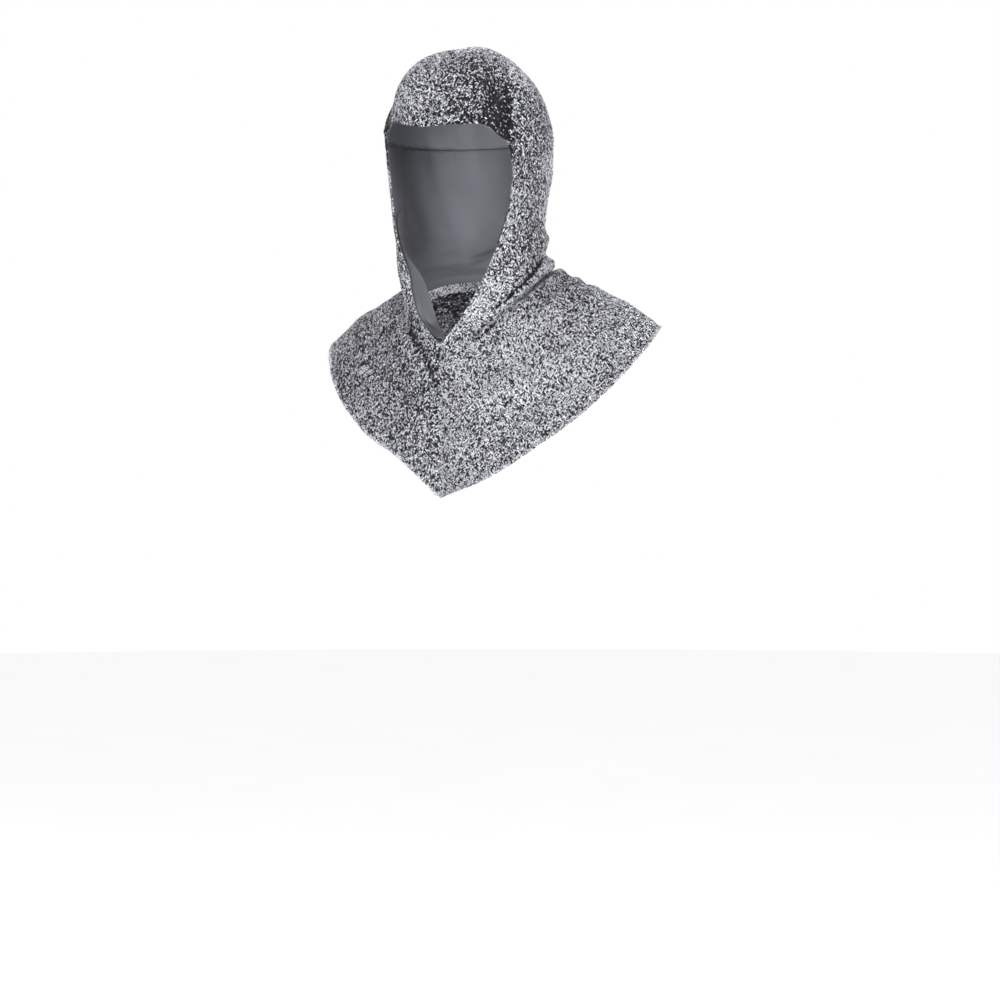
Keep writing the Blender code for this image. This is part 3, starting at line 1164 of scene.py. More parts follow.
def knit_group() -> NodeTree:
    """A knit's stitches: V shapes in wales and courses.

    Returns:
        A group that gives the yarn's height and a random number a stitch.
    """
    inputs = {"Vector": "vector", "Wales": 400.0, "Courses": 500.0}
    tree, given, result = new_group("Knit", inputs, ["Height", "Stitch"])
    flat = put(tree, "ShaderNodeSeparateXYZ", {0: given.outputs["Vector"]})
    across = math_node(tree, "MULTIPLY", flat.outputs[0], given.outputs["Wales"])
    down = math_node(tree, "MULTIPLY", flat.outputs[1], given.outputs["Courses"])
    in_wale = math_node(tree, "FRACT", across)
    from_wale = math_node(tree, "ABSOLUTE", math_node(tree, "SUBTRACT", in_wale, 0.5))
    slanted = math_node(tree, "SUBTRACT", down, math_node(tree, "MULTIPLY", from_wale, STITCH_SLANT))
    in_course = math_node(tree, "FRACT", slanted)
    round_yarn = math_node(tree, "SINE", math_node(tree, "MULTIPLY", in_course, math.pi))
    leg = math_node(tree, "SINE", math_node(tree, "MULTIPLY", from_wale, 2 * math.pi))
    raised = math_node(tree, "ADD", math_node(tree, "MULTIPLY", leg, LEG_SHARE), YARN_SHARE)
    height = math_node(tree, "MULTIPLY", round_yarn, raised)
    half_wale = math_node(tree, "FLOOR", math_node(tree, "MULTIPLY", across, 2.0))
    course = math_node(tree, "FLOOR", slanted)
    cell = put(tree, "ShaderNodeCombineXYZ", {0: half_wale, 1: course, 2: 0.0})
    stitch = put(tree, "ShaderNodeTexWhiteNoise", {0: cell.outputs[0]}, noise_dimensions="2D")
    tree.links.new(height, result.inputs["Height"])
    tree.links.new(stitch.outputs["Value"], result.inputs["Stitch"])
    return tree


def mottle_group() -> NodeTree:
    """Broad soft patches, lighter and darker at random.

    Returns:
        A group that gives a number from 0 to 1.
    """
    inputs = {"Vector": "vector", "Scale": 12.0, "Contrast": 1.0}
    tree, given, result = new_group("Mottle", inputs, ["Value"])
    settings = {name: given.outputs[name] for name in ("Vector", "Scale")}
    patches = put(tree, "ShaderNodeTexNoise", settings | {"Detail": 3.0, "Roughness": 0.55})
    centred = math_node(tree, "SUBTRACT", patches.outputs[0], 0.5)
    spread = math_node(tree, "MULTIPLY", centred, given.outputs["Contrast"])
    value = put(tree, "ShaderNodeMath", {0: spread, 1: 0.5}, operation="ADD", use_clamp=True)
    tree.links.new(value.outputs[0], result.inputs["Value"])
    return tree


def weave_group() -> NodeTree:
    """A plain weave.

    Returns:
        A group that gives the threads' height.
    """
    tree, given, result = new_group("Weave", {"Vector": "vector", "Threads": 2200.0}, ["Height"])
    flat = put(tree, "ShaderNodeSeparateXYZ", {0: given.outputs["Vector"]})
    turns = math_node(tree, "MULTIPLY", given.outputs["Threads"], math.pi)
    warp = math_node(tree, "SINE", math_node(tree, "MULTIPLY", flat.outputs[0], turns))
    weft = math_node(tree, "SINE", math_node(tree, "MULTIPLY", flat.outputs[1], turns))
    crossed = math_node(tree, "MULTIPLY", warp, weft)
    height = math_node(tree, "ADD", math_node(tree, "MULTIPLY", crossed, 0.5), 0.5)
    tree.links.new(height, result.inputs["Height"])
    return tree


class Effects:
    """The shader groups that several finishes share, each built once."""

    def __init__(self) -> None:
        """Builds the groups."""
        self.knit = knit_group()
        self.mottle = mottle_group()
        self.weave = weave_group()


def new_material(name: str) -> tuple[Material, NodeTree, Node]:
    """Starts a material.

    Args:
        name: its name.

    Returns:
        The material, its tree and its Principled shader.
    """
    material = bpy.data.materials.new(name)
    material.use_nodes = True
    tree = material.node_tree
    return material, tree, tree.nodes["Principled BSDF"]


def ramp(tree: NodeTree, value: NodeSocket, stops: Iterable[tuple]) -> NodeSocket:
    """Adds a colour ramp.

    Args:
        tree: the tree.
        value: what it reads.
        stops: each stop's place and its colour, as three numbers.

    Returns:
        The colour.
    """
    node = put(tree, "ShaderNodeValToRGB", {0: value})
    stops = list(stops)
    elements = node.color_ramp.elements
    while len(elements) < len(stops):
        elements.new(0.5)
    for element, (place, colour) in zip(elements, stops, strict=True):
        element.position = place
        element.color = (*colour, 1)
    return node.outputs[0]


def toned(tree: NodeTree, value: NodeSocket, pull: float, kept: float = 0.0) -> NodeSocket:
    """Moves a number of 0 to 1 by the cloth's painted light and shade.

    Args:
        tree: the tree.
        value: the number.
        pull: how far the painted light and shade move it.
        kept: the share of that which the highest numbers are spared.

    Returns:
        The moved number.
    """
    tone = put(tree, "ShaderNodeAttribute", attribute_name=TONE).outputs["Fac"]
    shift = math_node(tree, "MULTIPLY", tone, pull)
    if kept:
        spared = math_node(tree, "MULTIPLY", math_node(tree, "POWER", value, SPARED_POWER), kept)
        shift = math_node(tree, "MULTIPLY", shift, math_node(tree, "SUBTRACT", 1.0, spared))
    return put(tree, "ShaderNodeMath", {0: value, 1: shift}, operation="ADD", use_clamp=True).outputs[0]


def patchy(tree: NodeTree, effects: Effects, scale: float, contrast: float) -> NodeSocket:
    """Places the broad patches in a material.

    Args:
        tree: the material's tree.
        effects: the shared effects.
        scale: how fine the patches are.
        contrast: how much they differ.

    Returns:
        A number of 0 to 1, 0.5 on the average.
    """
    place = put(tree, "ShaderNodeTexCoord").outputs["Object"]
    values = {"Vector": place, "Scale": scale, "Contrast": contrast}
    return put(tree, "ShaderNodeGroup", values, node_tree=effects.mottle).outputs[0]


def bumped(tree: NodeTree, shader: Node, height: NodeSocket, strength: float, distance: float) -> None:
    """Bumps a material by a height of 0 to 1, whose 1 stands out by the distance."""
    bump = put(tree, "ShaderNodeBump", {"Height": height, "Strength": strength, "Distance": distance})
    tree.links.new(bump.outputs[0], shader.inputs["Normal"])


@dataclass(frozen=True)
class MailYarn:
    """The ground of the mail cloth: dark knitted yarn with glints of tinsel between the stitches."""

    dark: Triple = (0.012, 0.012, 0.015)
    middle: Triple = (0.10, 0.10, 0.115)
    bright: Triple = (0.62, 0.63, 0.68)
    dark_to: float = 0.45  # a stitch is dark up to this one of its numbers from 0 to 1
    middle_at: float = 0.7
    bright_from: float = 0.9
    wales: float = 420.0
    courses: float = 520.0
    waver_size: float = 160.0  # how fine the stitches' waver is
    waver_reach: float = 0.0035
    tone_pull: float = 0.30  # how far the painted light and shade move the yarn's colour
    metal: float = 0.8  # of the brightest stitches
    rough: float = 0.8  # of the darkest stitches
    smoother: float = 0.4  # how much smoother the brightest ones are
    bump: float = 0.9
    yarn_height: float = 0.0009

    def make(self, effects: Effects) -> Material:
        """Makes the material.

        Args:
            effects: the shared effects.

        Returns:
            The material.
        """
        material, tree, shader = new_material("mail yarn")
        cloth = put(tree, "ShaderNodeUVMap", uv_map=UV_NAME).outputs[0]
        place = put(tree, "ShaderNodeTexCoord").outputs["Object"]
        waver = put(tree, "ShaderNodeTexNoise", {"Vector": place, "Scale": self.waver_size, "Detail": 2.0})
        shift = vector_node(tree, "SUBTRACT", {0: waver.outputs[1], 1: (0.5, 0.5, 0.5)})
        scaled = vector_node(tree, "SCALE", {0: shift, "Scale": self.waver_reach})
        wavy = vector_node(tree, "ADD", {0: cloth, 1: scaled})
        sizes = {"Vector": wavy, "Wales": self.wales, "Courses": self.courses}
        knit = put(tree, "ShaderNodeGroup", sizes, node_tree=effects.knit)
        stitch = knit.outputs["Stitch"]
        stops = (
            (0.0, self.dark),
            (self.dark_to, self.dark),
            (self.middle_at, self.middle),
            (self.bright_from, self.bright),
        )
        colour = ramp(tree, toned(tree, stitch, self.tone_pull), stops)
        tree.links.new(colour, shader.inputs["Base Color"])
        tree.links.new(math_node(tree, "MULTIPLY", stitch, self.metal), shader.inputs["Metallic"])
        smoother = math_node(tree, "MULTIPLY", stitch, self.smoother)
        tree.links.new(math_node(tree, "SUBTRACT", self.rough, smoother), shader.inputs["Roughness"])
        bumped(tree, shader, knit.outputs["Height"], self.bump, self.yarn_height)
        return material


@dataclass(frozen=True)
class TinselFinish:
    """The tinsel stitches: each has its own tone, from near black to bright silver."""

    name: str = "tinsel"
    black: Triple = (0.012, 0.012, 0.015)
    grey: Triple = (0.20, 0.20, 0.225)
    silver: Triple = (0.64, 0.65, 0.71)
    white: Triple = (0.92, 0.93, 0.99)
    black_to: float = 0.22  # a stitch is black up to this one of its numbers from 0 to 1
    grey_at: float = 0.33
    silver_at: float = 0.50
    white_from: float = 0.80
    patch_size: float = 14.0  # how fine the broad patches are
    patch_contrast: float = 0.9
    patch_pull: float = 0.12  # how far they move a stitch's number
    tone_pull: float = 0.75  # how far the painted light and shade move it
    kept: float = 0.60  # and how much of that the brightest stitches are spared
    metal: float = 0.35
    specular: float = 0.25
    rough: float = 0.25  # of the smoothest stitch
    rougher: float = 0.25  # how much rougher the roughest is
    again: float = 17.3  # what makes a second random number of the first

    def make(self, effects: Effects) -> Material:
        """Makes the material.

        Args:
            effects: the shared effects.

        Returns:
            The material.
        """
        material, tree, shader = new_material(self.name)
        glint = put(tree, "ShaderNodeAttribute", attribute_name=GLINT).outputs["Fac"]
        mottle = patchy(tree, effects, self.patch_size, self.patch_contrast)
        lean = math_node(tree, "MULTIPLY", math_node(tree, "SUBTRACT", mottle, 0.5), self.patch_pull)
        mixed = math_node(tree, "ADD", glint, lean)
        stops = (
            (0.0, self.black),
            (self.black_to, self.black),
            (self.grey_at, self.grey),
            (self.silver_at, self.silver),
            (self.white_from, self.white),
        )
        tone = toned(tree, mixed, self.tone_pull, self.kept)
        tree.links.new(ramp(tree, tone, stops), shader.inputs["Base Color"])
        again = math_node(tree, "FRACT", math_node(tree, "MULTIPLY", glint, self.again))
        rough = math_node(tree, "ADD", math_node(tree, "MULTIPLY", again, self.rougher), self.rough)
        tree.links.new(rough, shader.inputs["Roughness"])
        shader.inputs["Metallic"].default_value = self.metal
        shader.inputs["Specular IOR Level"].default_value = self.specular
        return material


# A dimmer copy of the tinsel with less contrast: painted shade on the left half of the mantle, which the
# lights strike most.
SHADED_TINSEL = TinselFinish(
    name="soft tinsel",
    black=(0.016, 0.016, 0.020),
    grey=(0.205, 0.205, 0.230),
    silver=(0.590, 0.600, 0.655),
    white=(0.810, 0.820, 0.870),
)


@dataclass(frozen=True)
class LiningFinish:
    """The lining: a smooth grey plain weave with a faint sheen."""

    deep: Triple = (0.060, 0.061, 0.068)
    middle: Triple = (0.188, 0.195, 0.222)
    light: Triple = (0.400, 0.412, 0.460)
    patch_size: float = 9.0  # how fine the broad patches are
    patch_contrast: float = 0.25
    # how far the painted light and shade move the lining's colour
    tone_pull: float = 1.0
    rough: float = 0.75
    smoother: float = 0.15  # how much smoother the lightest patches are
    bump: float = 0.35
    thread_height: float = 0.0002
    sheen: float = 0.15
    sheen_rough: float = 0.4

    def make(self, effects: Effects) -> Material:
        """Makes the material.

        Args:
            effects: the shared effects.

        Returns:
            The material.
        """
        material, tree, shader = new_material("lining cloth")
        cloth = put(tree, "ShaderNodeUVMap", uv_map=UV_NAME).outputs[0]
        mottle = patchy(tree, effects, self.patch_size, self.patch_contrast)
        weave = put(tree, "ShaderNodeGroup", {"Vector": cloth}, node_tree=effects.weave)
        stops = ((0.0, self.deep), (0.5, self.middle), (1.0, self.light))
        colour = ramp(tree, toned(tree, mottle, self.tone_pull), stops)
        tree.links.new(colour, shader.inputs["Base Color"])
        smoother = math_node(tree, "MULTIPLY", mottle, self.smoother)
        tree.links.new(math_node(tree, "SUBTRACT", self.rough, smoother), shader.inputs["Roughness"])
        bumped(tree, shader, weave.outputs[0], self.bump, self.thread_height)
        shader.inputs["Sheen Weight"].default_value = self.sheen
        shader.inputs["Sheen Roughness"].default_value = self.sheen_rough
        return material


@dataclass(frozen=True)
class Finishes:
    """The finished materials."""

    yarn: Material
    tinsel: Material
    soft_tinsel: Material  # a dimmer copy with less contrast, painted shade for the left half of the mantle
    lining: Material


class Draw(Enum):
    """The random draws of a stitch, each with its own seed."""

    SIZE = 3
    GLINT = 4
    SIDE = 5
    LEAN = 6
    TILT_ACROSS = 7
    TILT_ALONG = 8


@dataclass
class Tinsel:
    """The tinsel of the knit as short bright stitches, leaning to either side of the way the cloth hangs."""

    spacing: float = 0.0017
    length: float = 0.0040
    width: float = 0.0016
    thickness: float = 0.0004
    proud: float = 0.0003  # how far its middle stands out of the yarn
    lean: float = math.radians(42)
    spread: float = math.radians(18)
    tilt: float = math.radians(9)
    smallest: Triple = (0.7, 0.65, 0.8)  # across, along and through
    largest: Triple = (1.25, 1.3, 1.25)
    shrink_tone: float = -1.0  # the painted shade, deep in the folds, below which stitches are smaller, so that more dark yarn shows there
    shrink: float = 3.6  # how much of its size one loses for each 1 of painted shade below that
    least: float = 0.3  # and what it keeps at the least
    density: float = 1200000.0  # more than the spacing lets through
    sliver: Object = field(init=False)
    tree: NodeTree = field(init=False)

    def __post_init__(self) -> None:
        """Builds one stitch and the node tree that sets it all over a piece."""
        self.sliver = self.one_stitch()
        self.tree = bpy.data.node_groups.new("Tinsel stitches", "GeometryNodeTree")
        for label, way, kind in (
            ("Geometry", "INPUT", "NodeSocketGeometry"),
            ("Spacing", "INPUT", "NodeSocketFloat"),
            ("Seed", "INPUT", "NodeSocketInt"),
            ("Geometry", "OUTPUT", "NodeSocketGeometry"),
        ):
            self.tree.interface.new_socket(label, in_out=way, socket_type=kind)
        tree = self.tree
        given, result = put(tree, "NodeGroupInput"), put(tree, "NodeGroupOutput")
        points = put(
            tree,
            "GeometryNodeDistributePointsOnFaces",
            {
                "Mesh": given.outputs["Geometry"],
                "Distance Min": given.outputs["Spacing"],
                "Density Max": self.density,
                "Seed": given.outputs["Seed"],
            },
            distribute_method="POISSON",
        )
        stitch = put(tree, "GeometryNodeObjectInfo", {"Object": self.sliver})
        sizes = self.random(Vector(self.smallest), Vector(self.largest), Draw.SIZE)
        sizes = vector_node(tree, "SCALE", {0: sizes, "Scale": self.kept_size()})
        set_in = put(
            tree,
            "GeometryNodeInstanceOnPoints",
            {
                "Points": points.outputs["Points"],
                "Instance": stitch.outputs["Geometry"],
                "Rotation": self.rotation(points.outputs["Normal"]),
                "Scale": sizes,
            },
        )
        glinting = put(
            tree,
            "GeometryNodeStoreNamedAttribute",
            {"Geometry": set_in.outputs[0], "Name": GLINT, "Value": self.random(0.0, 1.0, Draw.GLINT)},
            data_type="FLOAT",
            domain="INSTANCE",
        )
        real = put(tree, "GeometryNodeRealizeInstances", {"Geometry": glinting.outputs[0]})
        tree.links.new(real.outputs[0], result.inputs[0])

    def one_stitch(self) -> Object:
        """Makes one stitch: a sliver with a ridge along its top and a ridge across underneath.

        Returns:
            The stitch, at the origin.
        """
        mesh = bmesh.new()
        top, under = self.proud + self.thickness / 2, self.proud - self.thickness / 2
        for end in (-0.5, 0.5):
            mesh.verts.new((0.0, end * self.length, top))
            mesh.verts.new((end * self.width, 0.0, under))
        bmesh.ops.convex_hull(mesh, input=mesh.verts[:])
        return linked("one_stitch", mesh)

    def put_away(self) -> None:
        """Takes the one stitch and the node tree out of the scene when every piece has its stitches."""
        bpy.data.objects.remove(self.sliver)
        bpy.data.node_groups.remove(self.tree)

    def random(self, low: float | Vector, high: float | Vector, draw: Draw) -> NodeSocket:
        """A random number or vector for each stitch.

        Args:
            low: the least that it can be.
            high: the most that it can be.
            draw: what it is for.

        Returns:
            The numbers.
        """
        vector = isinstance(low, Vector)
        first, out = (0, 0) if vector else (2, 1)
        kind = "FLOAT_VECTOR" if vector else "FLOAT"
        inputs = {first: low, first + 1: high, "Seed": draw.value}
        return put(self.tree, "FunctionNodeRandomValue", inputs, data_type=kind).outputs[out]

    def kept_size(self) -> NodeSocket:
        """How much of its size a stitch keeps: less where the painted shade is deepest.

        Returns:
            The share, from the least to 1.
        """
        tone = put(self.tree, "GeometryNodeInputNamedAttribute", {"Name": TONE}, data_type="FLOAT")
        below = math_node(self.tree, "SUBTRACT", tone.outputs["Attribute"], self.shrink_tone)
        shrunk = math_node(self.tree, "ADD", math_node(self.tree, "MULTIPLY", below, self.shrink), 1.0)
        return math_node(self.tree, "MINIMUM", math_node(self.tree, "MAXIMUM", shrunk, self.least), 1.0)

    def rotation(self, normal: NodeSocket) -> NodeSocket:
        """Turns the stitches flat on the cloth, along the way it hangs, then leans and tilts each a little.

        Args:
            normal: the way that the cloth faces at each stitch.

        Returns:
            Each stitch's turn.
        """
        tree = self.tree
        flat = put(tree, "FunctionNodeAlignRotationToVector", {"Vector": normal}, axis="Z")
        hanging = put(
            tree,
            "FunctionNodeAlignRotationToVector",
            {"Rotation": flat.outputs[0], "Vector": (0.0, 0.0, -1.0)},
            axis="Y",
            pivot_axis="Z",
        )
        way = math_node(tree, "SIGN", self.random(-1.0, 1.0, Draw.SIDE))
        leaned = math_node(tree, "MULTIPLY", way, self.lean)
        swung = math_node(tree, "ADD", leaned, self.random(-self.spread, self.spread, Draw.LEAN))
        tilts = [self.random(-self.tilt, self.tilt, draw) for draw in (Draw.TILT_ACROSS, Draw.TILT_ALONG)]
        angles = put(tree, "ShaderNodeCombineXYZ", {0: tilts[0], 1: tilts[1], 2: swung})
        turn = put(tree, "FunctionNodeEulerToRotation", {0: angles.outputs[0]})
        both = put(
            tree,
            "FunctionNodeRotateRotation",
            {"Rotation": hanging.outputs[0], "Rotate By": turn.outputs[0]},
            rotation_space="LOCAL",
        )
        return both.outputs[0]

    def over(self, name: str, surface: BMesh, seed: int, spacing: float | None = None) -> Object:
        """Sets stitches over a surface.

        Args:
            name: the piece's name.
            surface: the cloth's outer surface, which is freed.
            seed: the number that the random places grow from.
            spacing: the least distance between two stitches, or None for the usual one.

        Returns:
            The stitches as one piece.
        """
        piece = linked(name, surface)
        modifier = piece.modifiers.new("Stitches", "NODES")
        modifier.node_group = self.tree
        items = self.tree.interface.items_tree
        sockets = {item.name: item.identifier for item in items if item.in_out == "INPUT"}
        modifier[sockets["Spacing"]] = spacing or self.spacing
        modifier[sockets["Seed"]] = seed
        applied(piece)
        piece.data.shade_flat()
        return piece


def turned(surface: BMesh) -> BMesh:
    """Turns a surface's faces to point the other way.

    Args:
        surface: the surface.

    Returns:
        The same surface.
    """
    bmesh.ops.reverse_faces(surface, faces=surface.faces[:])
    surface.normal_update()
    return surface


@dataclass
class Hood:
    """The hood: a left and a right half of mail cloth, seamed along the centre."""

    form: HoodForm = HoodForm()
    brow_columns: int = 44
    side_columns: int = 84
    dome_rows: int = 54
    side_rows: int = 88
    fine_edge: float = 0.5  # how much finer the columns are along the face opening
    fine_reach: int = 3  # the higher it is, the nearer to the opening the fine ones stay
    fine_foot: float = 0.45  # and the rows at the neck seam
    slack: Slackness = Slackness(height=0.0022, size=0.045)
    seed: int = 11  # of the stitches' places, and one more on the right half
    # Each crease has painted shade in a trough and painted light on a ridge; a last number, where given,
    # adds painted light or, below 0, painted shade.
    creases: dict[Side, tuple[Crease, ...]] = field(
        default_factory=lambda: {
            Side.LEFT: (
                Crease(66, 1.03, 65, 0.80, 63, 0.45, 0.0045, -0.0028),
                Crease(44, 0.92, 52, 0.78, 60, 0.52, 0.016, -0.0040),
                Crease(30, 0.70, 34, 0.50, 60, 0.28, 0.014, 0.0016),
                Crease(80, 1.06, 92, 1.30, 98, 1.58, 0.012, -0.0024),
                Crease(104, 0.72, 118, 1.02, 120, 1.38, 0.015, 0.0022),
                Crease(66, 1.38, 86, 1.52, 118, 1.60, 0.009, -0.0022),
                Crease(112, 1.81, 79, 1.883, 46, 1.935, 0.0023, -0.0032, -1.36),
                Crease(104, 1.90, 80, 1.945, 52, 1.965, 0.0050, 0.0022, 0.26),
                Crease(126, 1.86, 146, 1.66, 158, 1.40, 0.010, -0.0030),
                Crease(112, 1.70, 138, 1.76, 168, 1.70, 0.008, -0.0034),
                Crease(134, 0.60, 152, 0.86, 150, 1.24, 0.016, -0.0030),
                Crease(150, 1.52, 166, 1.60, 178, 1.56, 0.011, 0.0026),
            ),
            Side.RIGHT: (
                Crease(66, 1.04, 66, 0.78, 64, 0.48, 0.0050, -0.0024),
                Crease(46, 0.90, 54, 0.74, 60, 0.50, 0.015, -0.0032),
                Crease(26, 0.62, 40, 0.46, 66, 0.34, 0.015, 0.0014),
                Crease(84, 1.10, 90, 1.36, 104, 1.62, 0.013, -0.0022),
                Crease(108, 0.66, 116, 0.98, 126, 1.30, 0.014, 0.0020),
                Crease(64, 1.44, 90, 1.54, 112, 1.66, 0.008, -0.0024),
                Crease(46, 1.70, 76, 1.82, 120, 1.76, 0.008, -0.0030),
                Crease(124, 1.88, 140, 1.70, 162, 1.44, 0.011, -0.0028),
                Crease(172, 1.70, 156, 1.80, 138, 1.85, 0.006, -0.0026),
                Crease(52, 1.940, 44, 1.960, 37, 1.985, 0.0040, -0.0028, -0.40),
                Crease(33, 1.900, 34.5, 1.930, 36, 1.970, 0.0050, -0.0034, -1.30),
                Crease(68, 1.12, 64, 1.25, 60, 1.37, 0.016, 0.0034, -0.12),
                Crease(54, 1.48, 44, 1.64, 34, 1.84, 0.016, 0.0044, -0.16),
                Crease(140, 0.56, 150, 0.90, 156, 1.18, 0.015, -0.0026),
                Crease(154, 1.46, 164, 1.62, 178, 1.60, 0.010, 0.0022),
            ),
        }
    )
    # Painted light and shade on each half, in soft patches.
    shades: dict[Side, tuple[Shade, ...]] = field(
        default_factory=lambda: {
            Side.LEFT: (
                Shade(50, 0.84, 0.034, 0.038, -0.32),
                Shade(36, 0.60, 0.046, 0.050, -0.26),
                Shade(16, 0.46, 0.036, 0.034, -0.14),
                Shade(22, 0.76, 0.024, 0.024, -0.16),
                Shade(94, 0.90, 0.044, 0.060, -0.20),
                Shade(98, 0.72, 0.030, 0.036, -0.18),
                Shade(74, 1.12, 0.024, 0.034, -0.16),
                Shade(92, 1.36, 0.070, 0.100, -0.16),
                Shade(92, 1.66, 0.030, 0.034, -0.24),
                Shade(52, 1.58, 0.020, 0.036, -0.24),
                Shade(48, 1.72, 0.030, 0.040, 0.12),
                Shade(6, 0.95, 0.050, 0.024, -0.22),
                Shade(66, 0.40, 0.040, 0.030, -0.10),
            ),
            Side.RIGHT: (
                Shade(-36, 0.60, 0.046, 0.050, -0.34),
                Shade(-16, 0.46, 0.036, 0.034, -0.14),
                Shade(-6, 0.95, 0.050, 0.024, -0.22),
                Shade(40, 0.80, 0.040, 0.050, 0.14),
                Shade(14, 0.74, 0.050, 0.050, -0.06),
                Shade(100, 1.30, 0.034, 0.040, -0.10),
                Shade(34, 1.89, 0.030, 0.026, -0.24),
                Shade(12, 1.96, 0.030, 0.026, -0.24),
            ),
        }
    )
    skins: dict[Side, Skin] = field(init=False)

    def __post_init__(self) -> None:
        """Lays the surface of each half."""
        patches = (
            Patch(self.brow_columns, self.dome_rows, self.at_brow),
            Patch(self.side_columns, self.dome_rows + self.side_rows, self.at_side),
        )
        self.skins = {
            side: Skin(self.form, side, patches, self.creases[side], self.slack, self.shades[side])
            for side in Side
        }

    def at_brow(self, side: Side, across: float, down: float) -> Pair:
        """The level and angle at a share across and down the brow's patch."""
        return down, self.form.edge_angle(down, side) * across

    def at_side(self, side: Side, across: float, down: float) -> Pair:
        """Where a point of the side's patch lies on the hood.

        Args:
            side: the side.
            across: its share across the patch.
            down: its share down the patch.

        Returns:
            Its level and its angle.
        """
        row = down * (self.dome_rows + self.side_rows)
        level = row / self.dome_rows
        if level > 1:
            below = min(1.0, (row - self.dome_rows) / self.side_rows)
            level = 1 + below + self.fine_foot * below * (1 - below)
        share = across - (1 - self.fine_edge) * across * (1 - across) ** self.fine_reach
        edge = self.form.edge_angle(level, side)
        return level, edge + (180 - edge) * share

    def share(self, side: Side, level: float, angle: float) -> float:
        """How far round a place is, from the face opening, 0, to the centre back, 1."""
        edge = self.form.edge_angle(level, side)
        return (angle - edge) / (180 - edge)

    def build(self, finishes: Finishes, tinsel: Tinsel) -> None:
        """Cuts, walls and dresses both halves.

        Args:
            finishes: the materials.
            tinsel: what sets the stitches.
        """
        for number, side in enumerate(Side):
            skin = self.skins[side]
            piece = walled(f"hood_{side.word}_cloth", skin.layer(), MAIL_WALL, side, level_at=ALL_BUT_FOOT)
            dress(piece, finishes.yarn, [f"hood_{side.word}"])
            surface = with_rim(skin.layer(), MAIL_WALL)
            stitches = tinsel.over(f"hood_{side.word}_tinsel", surface, self.seed + number)
            dress(stitches, finishes.tinsel)


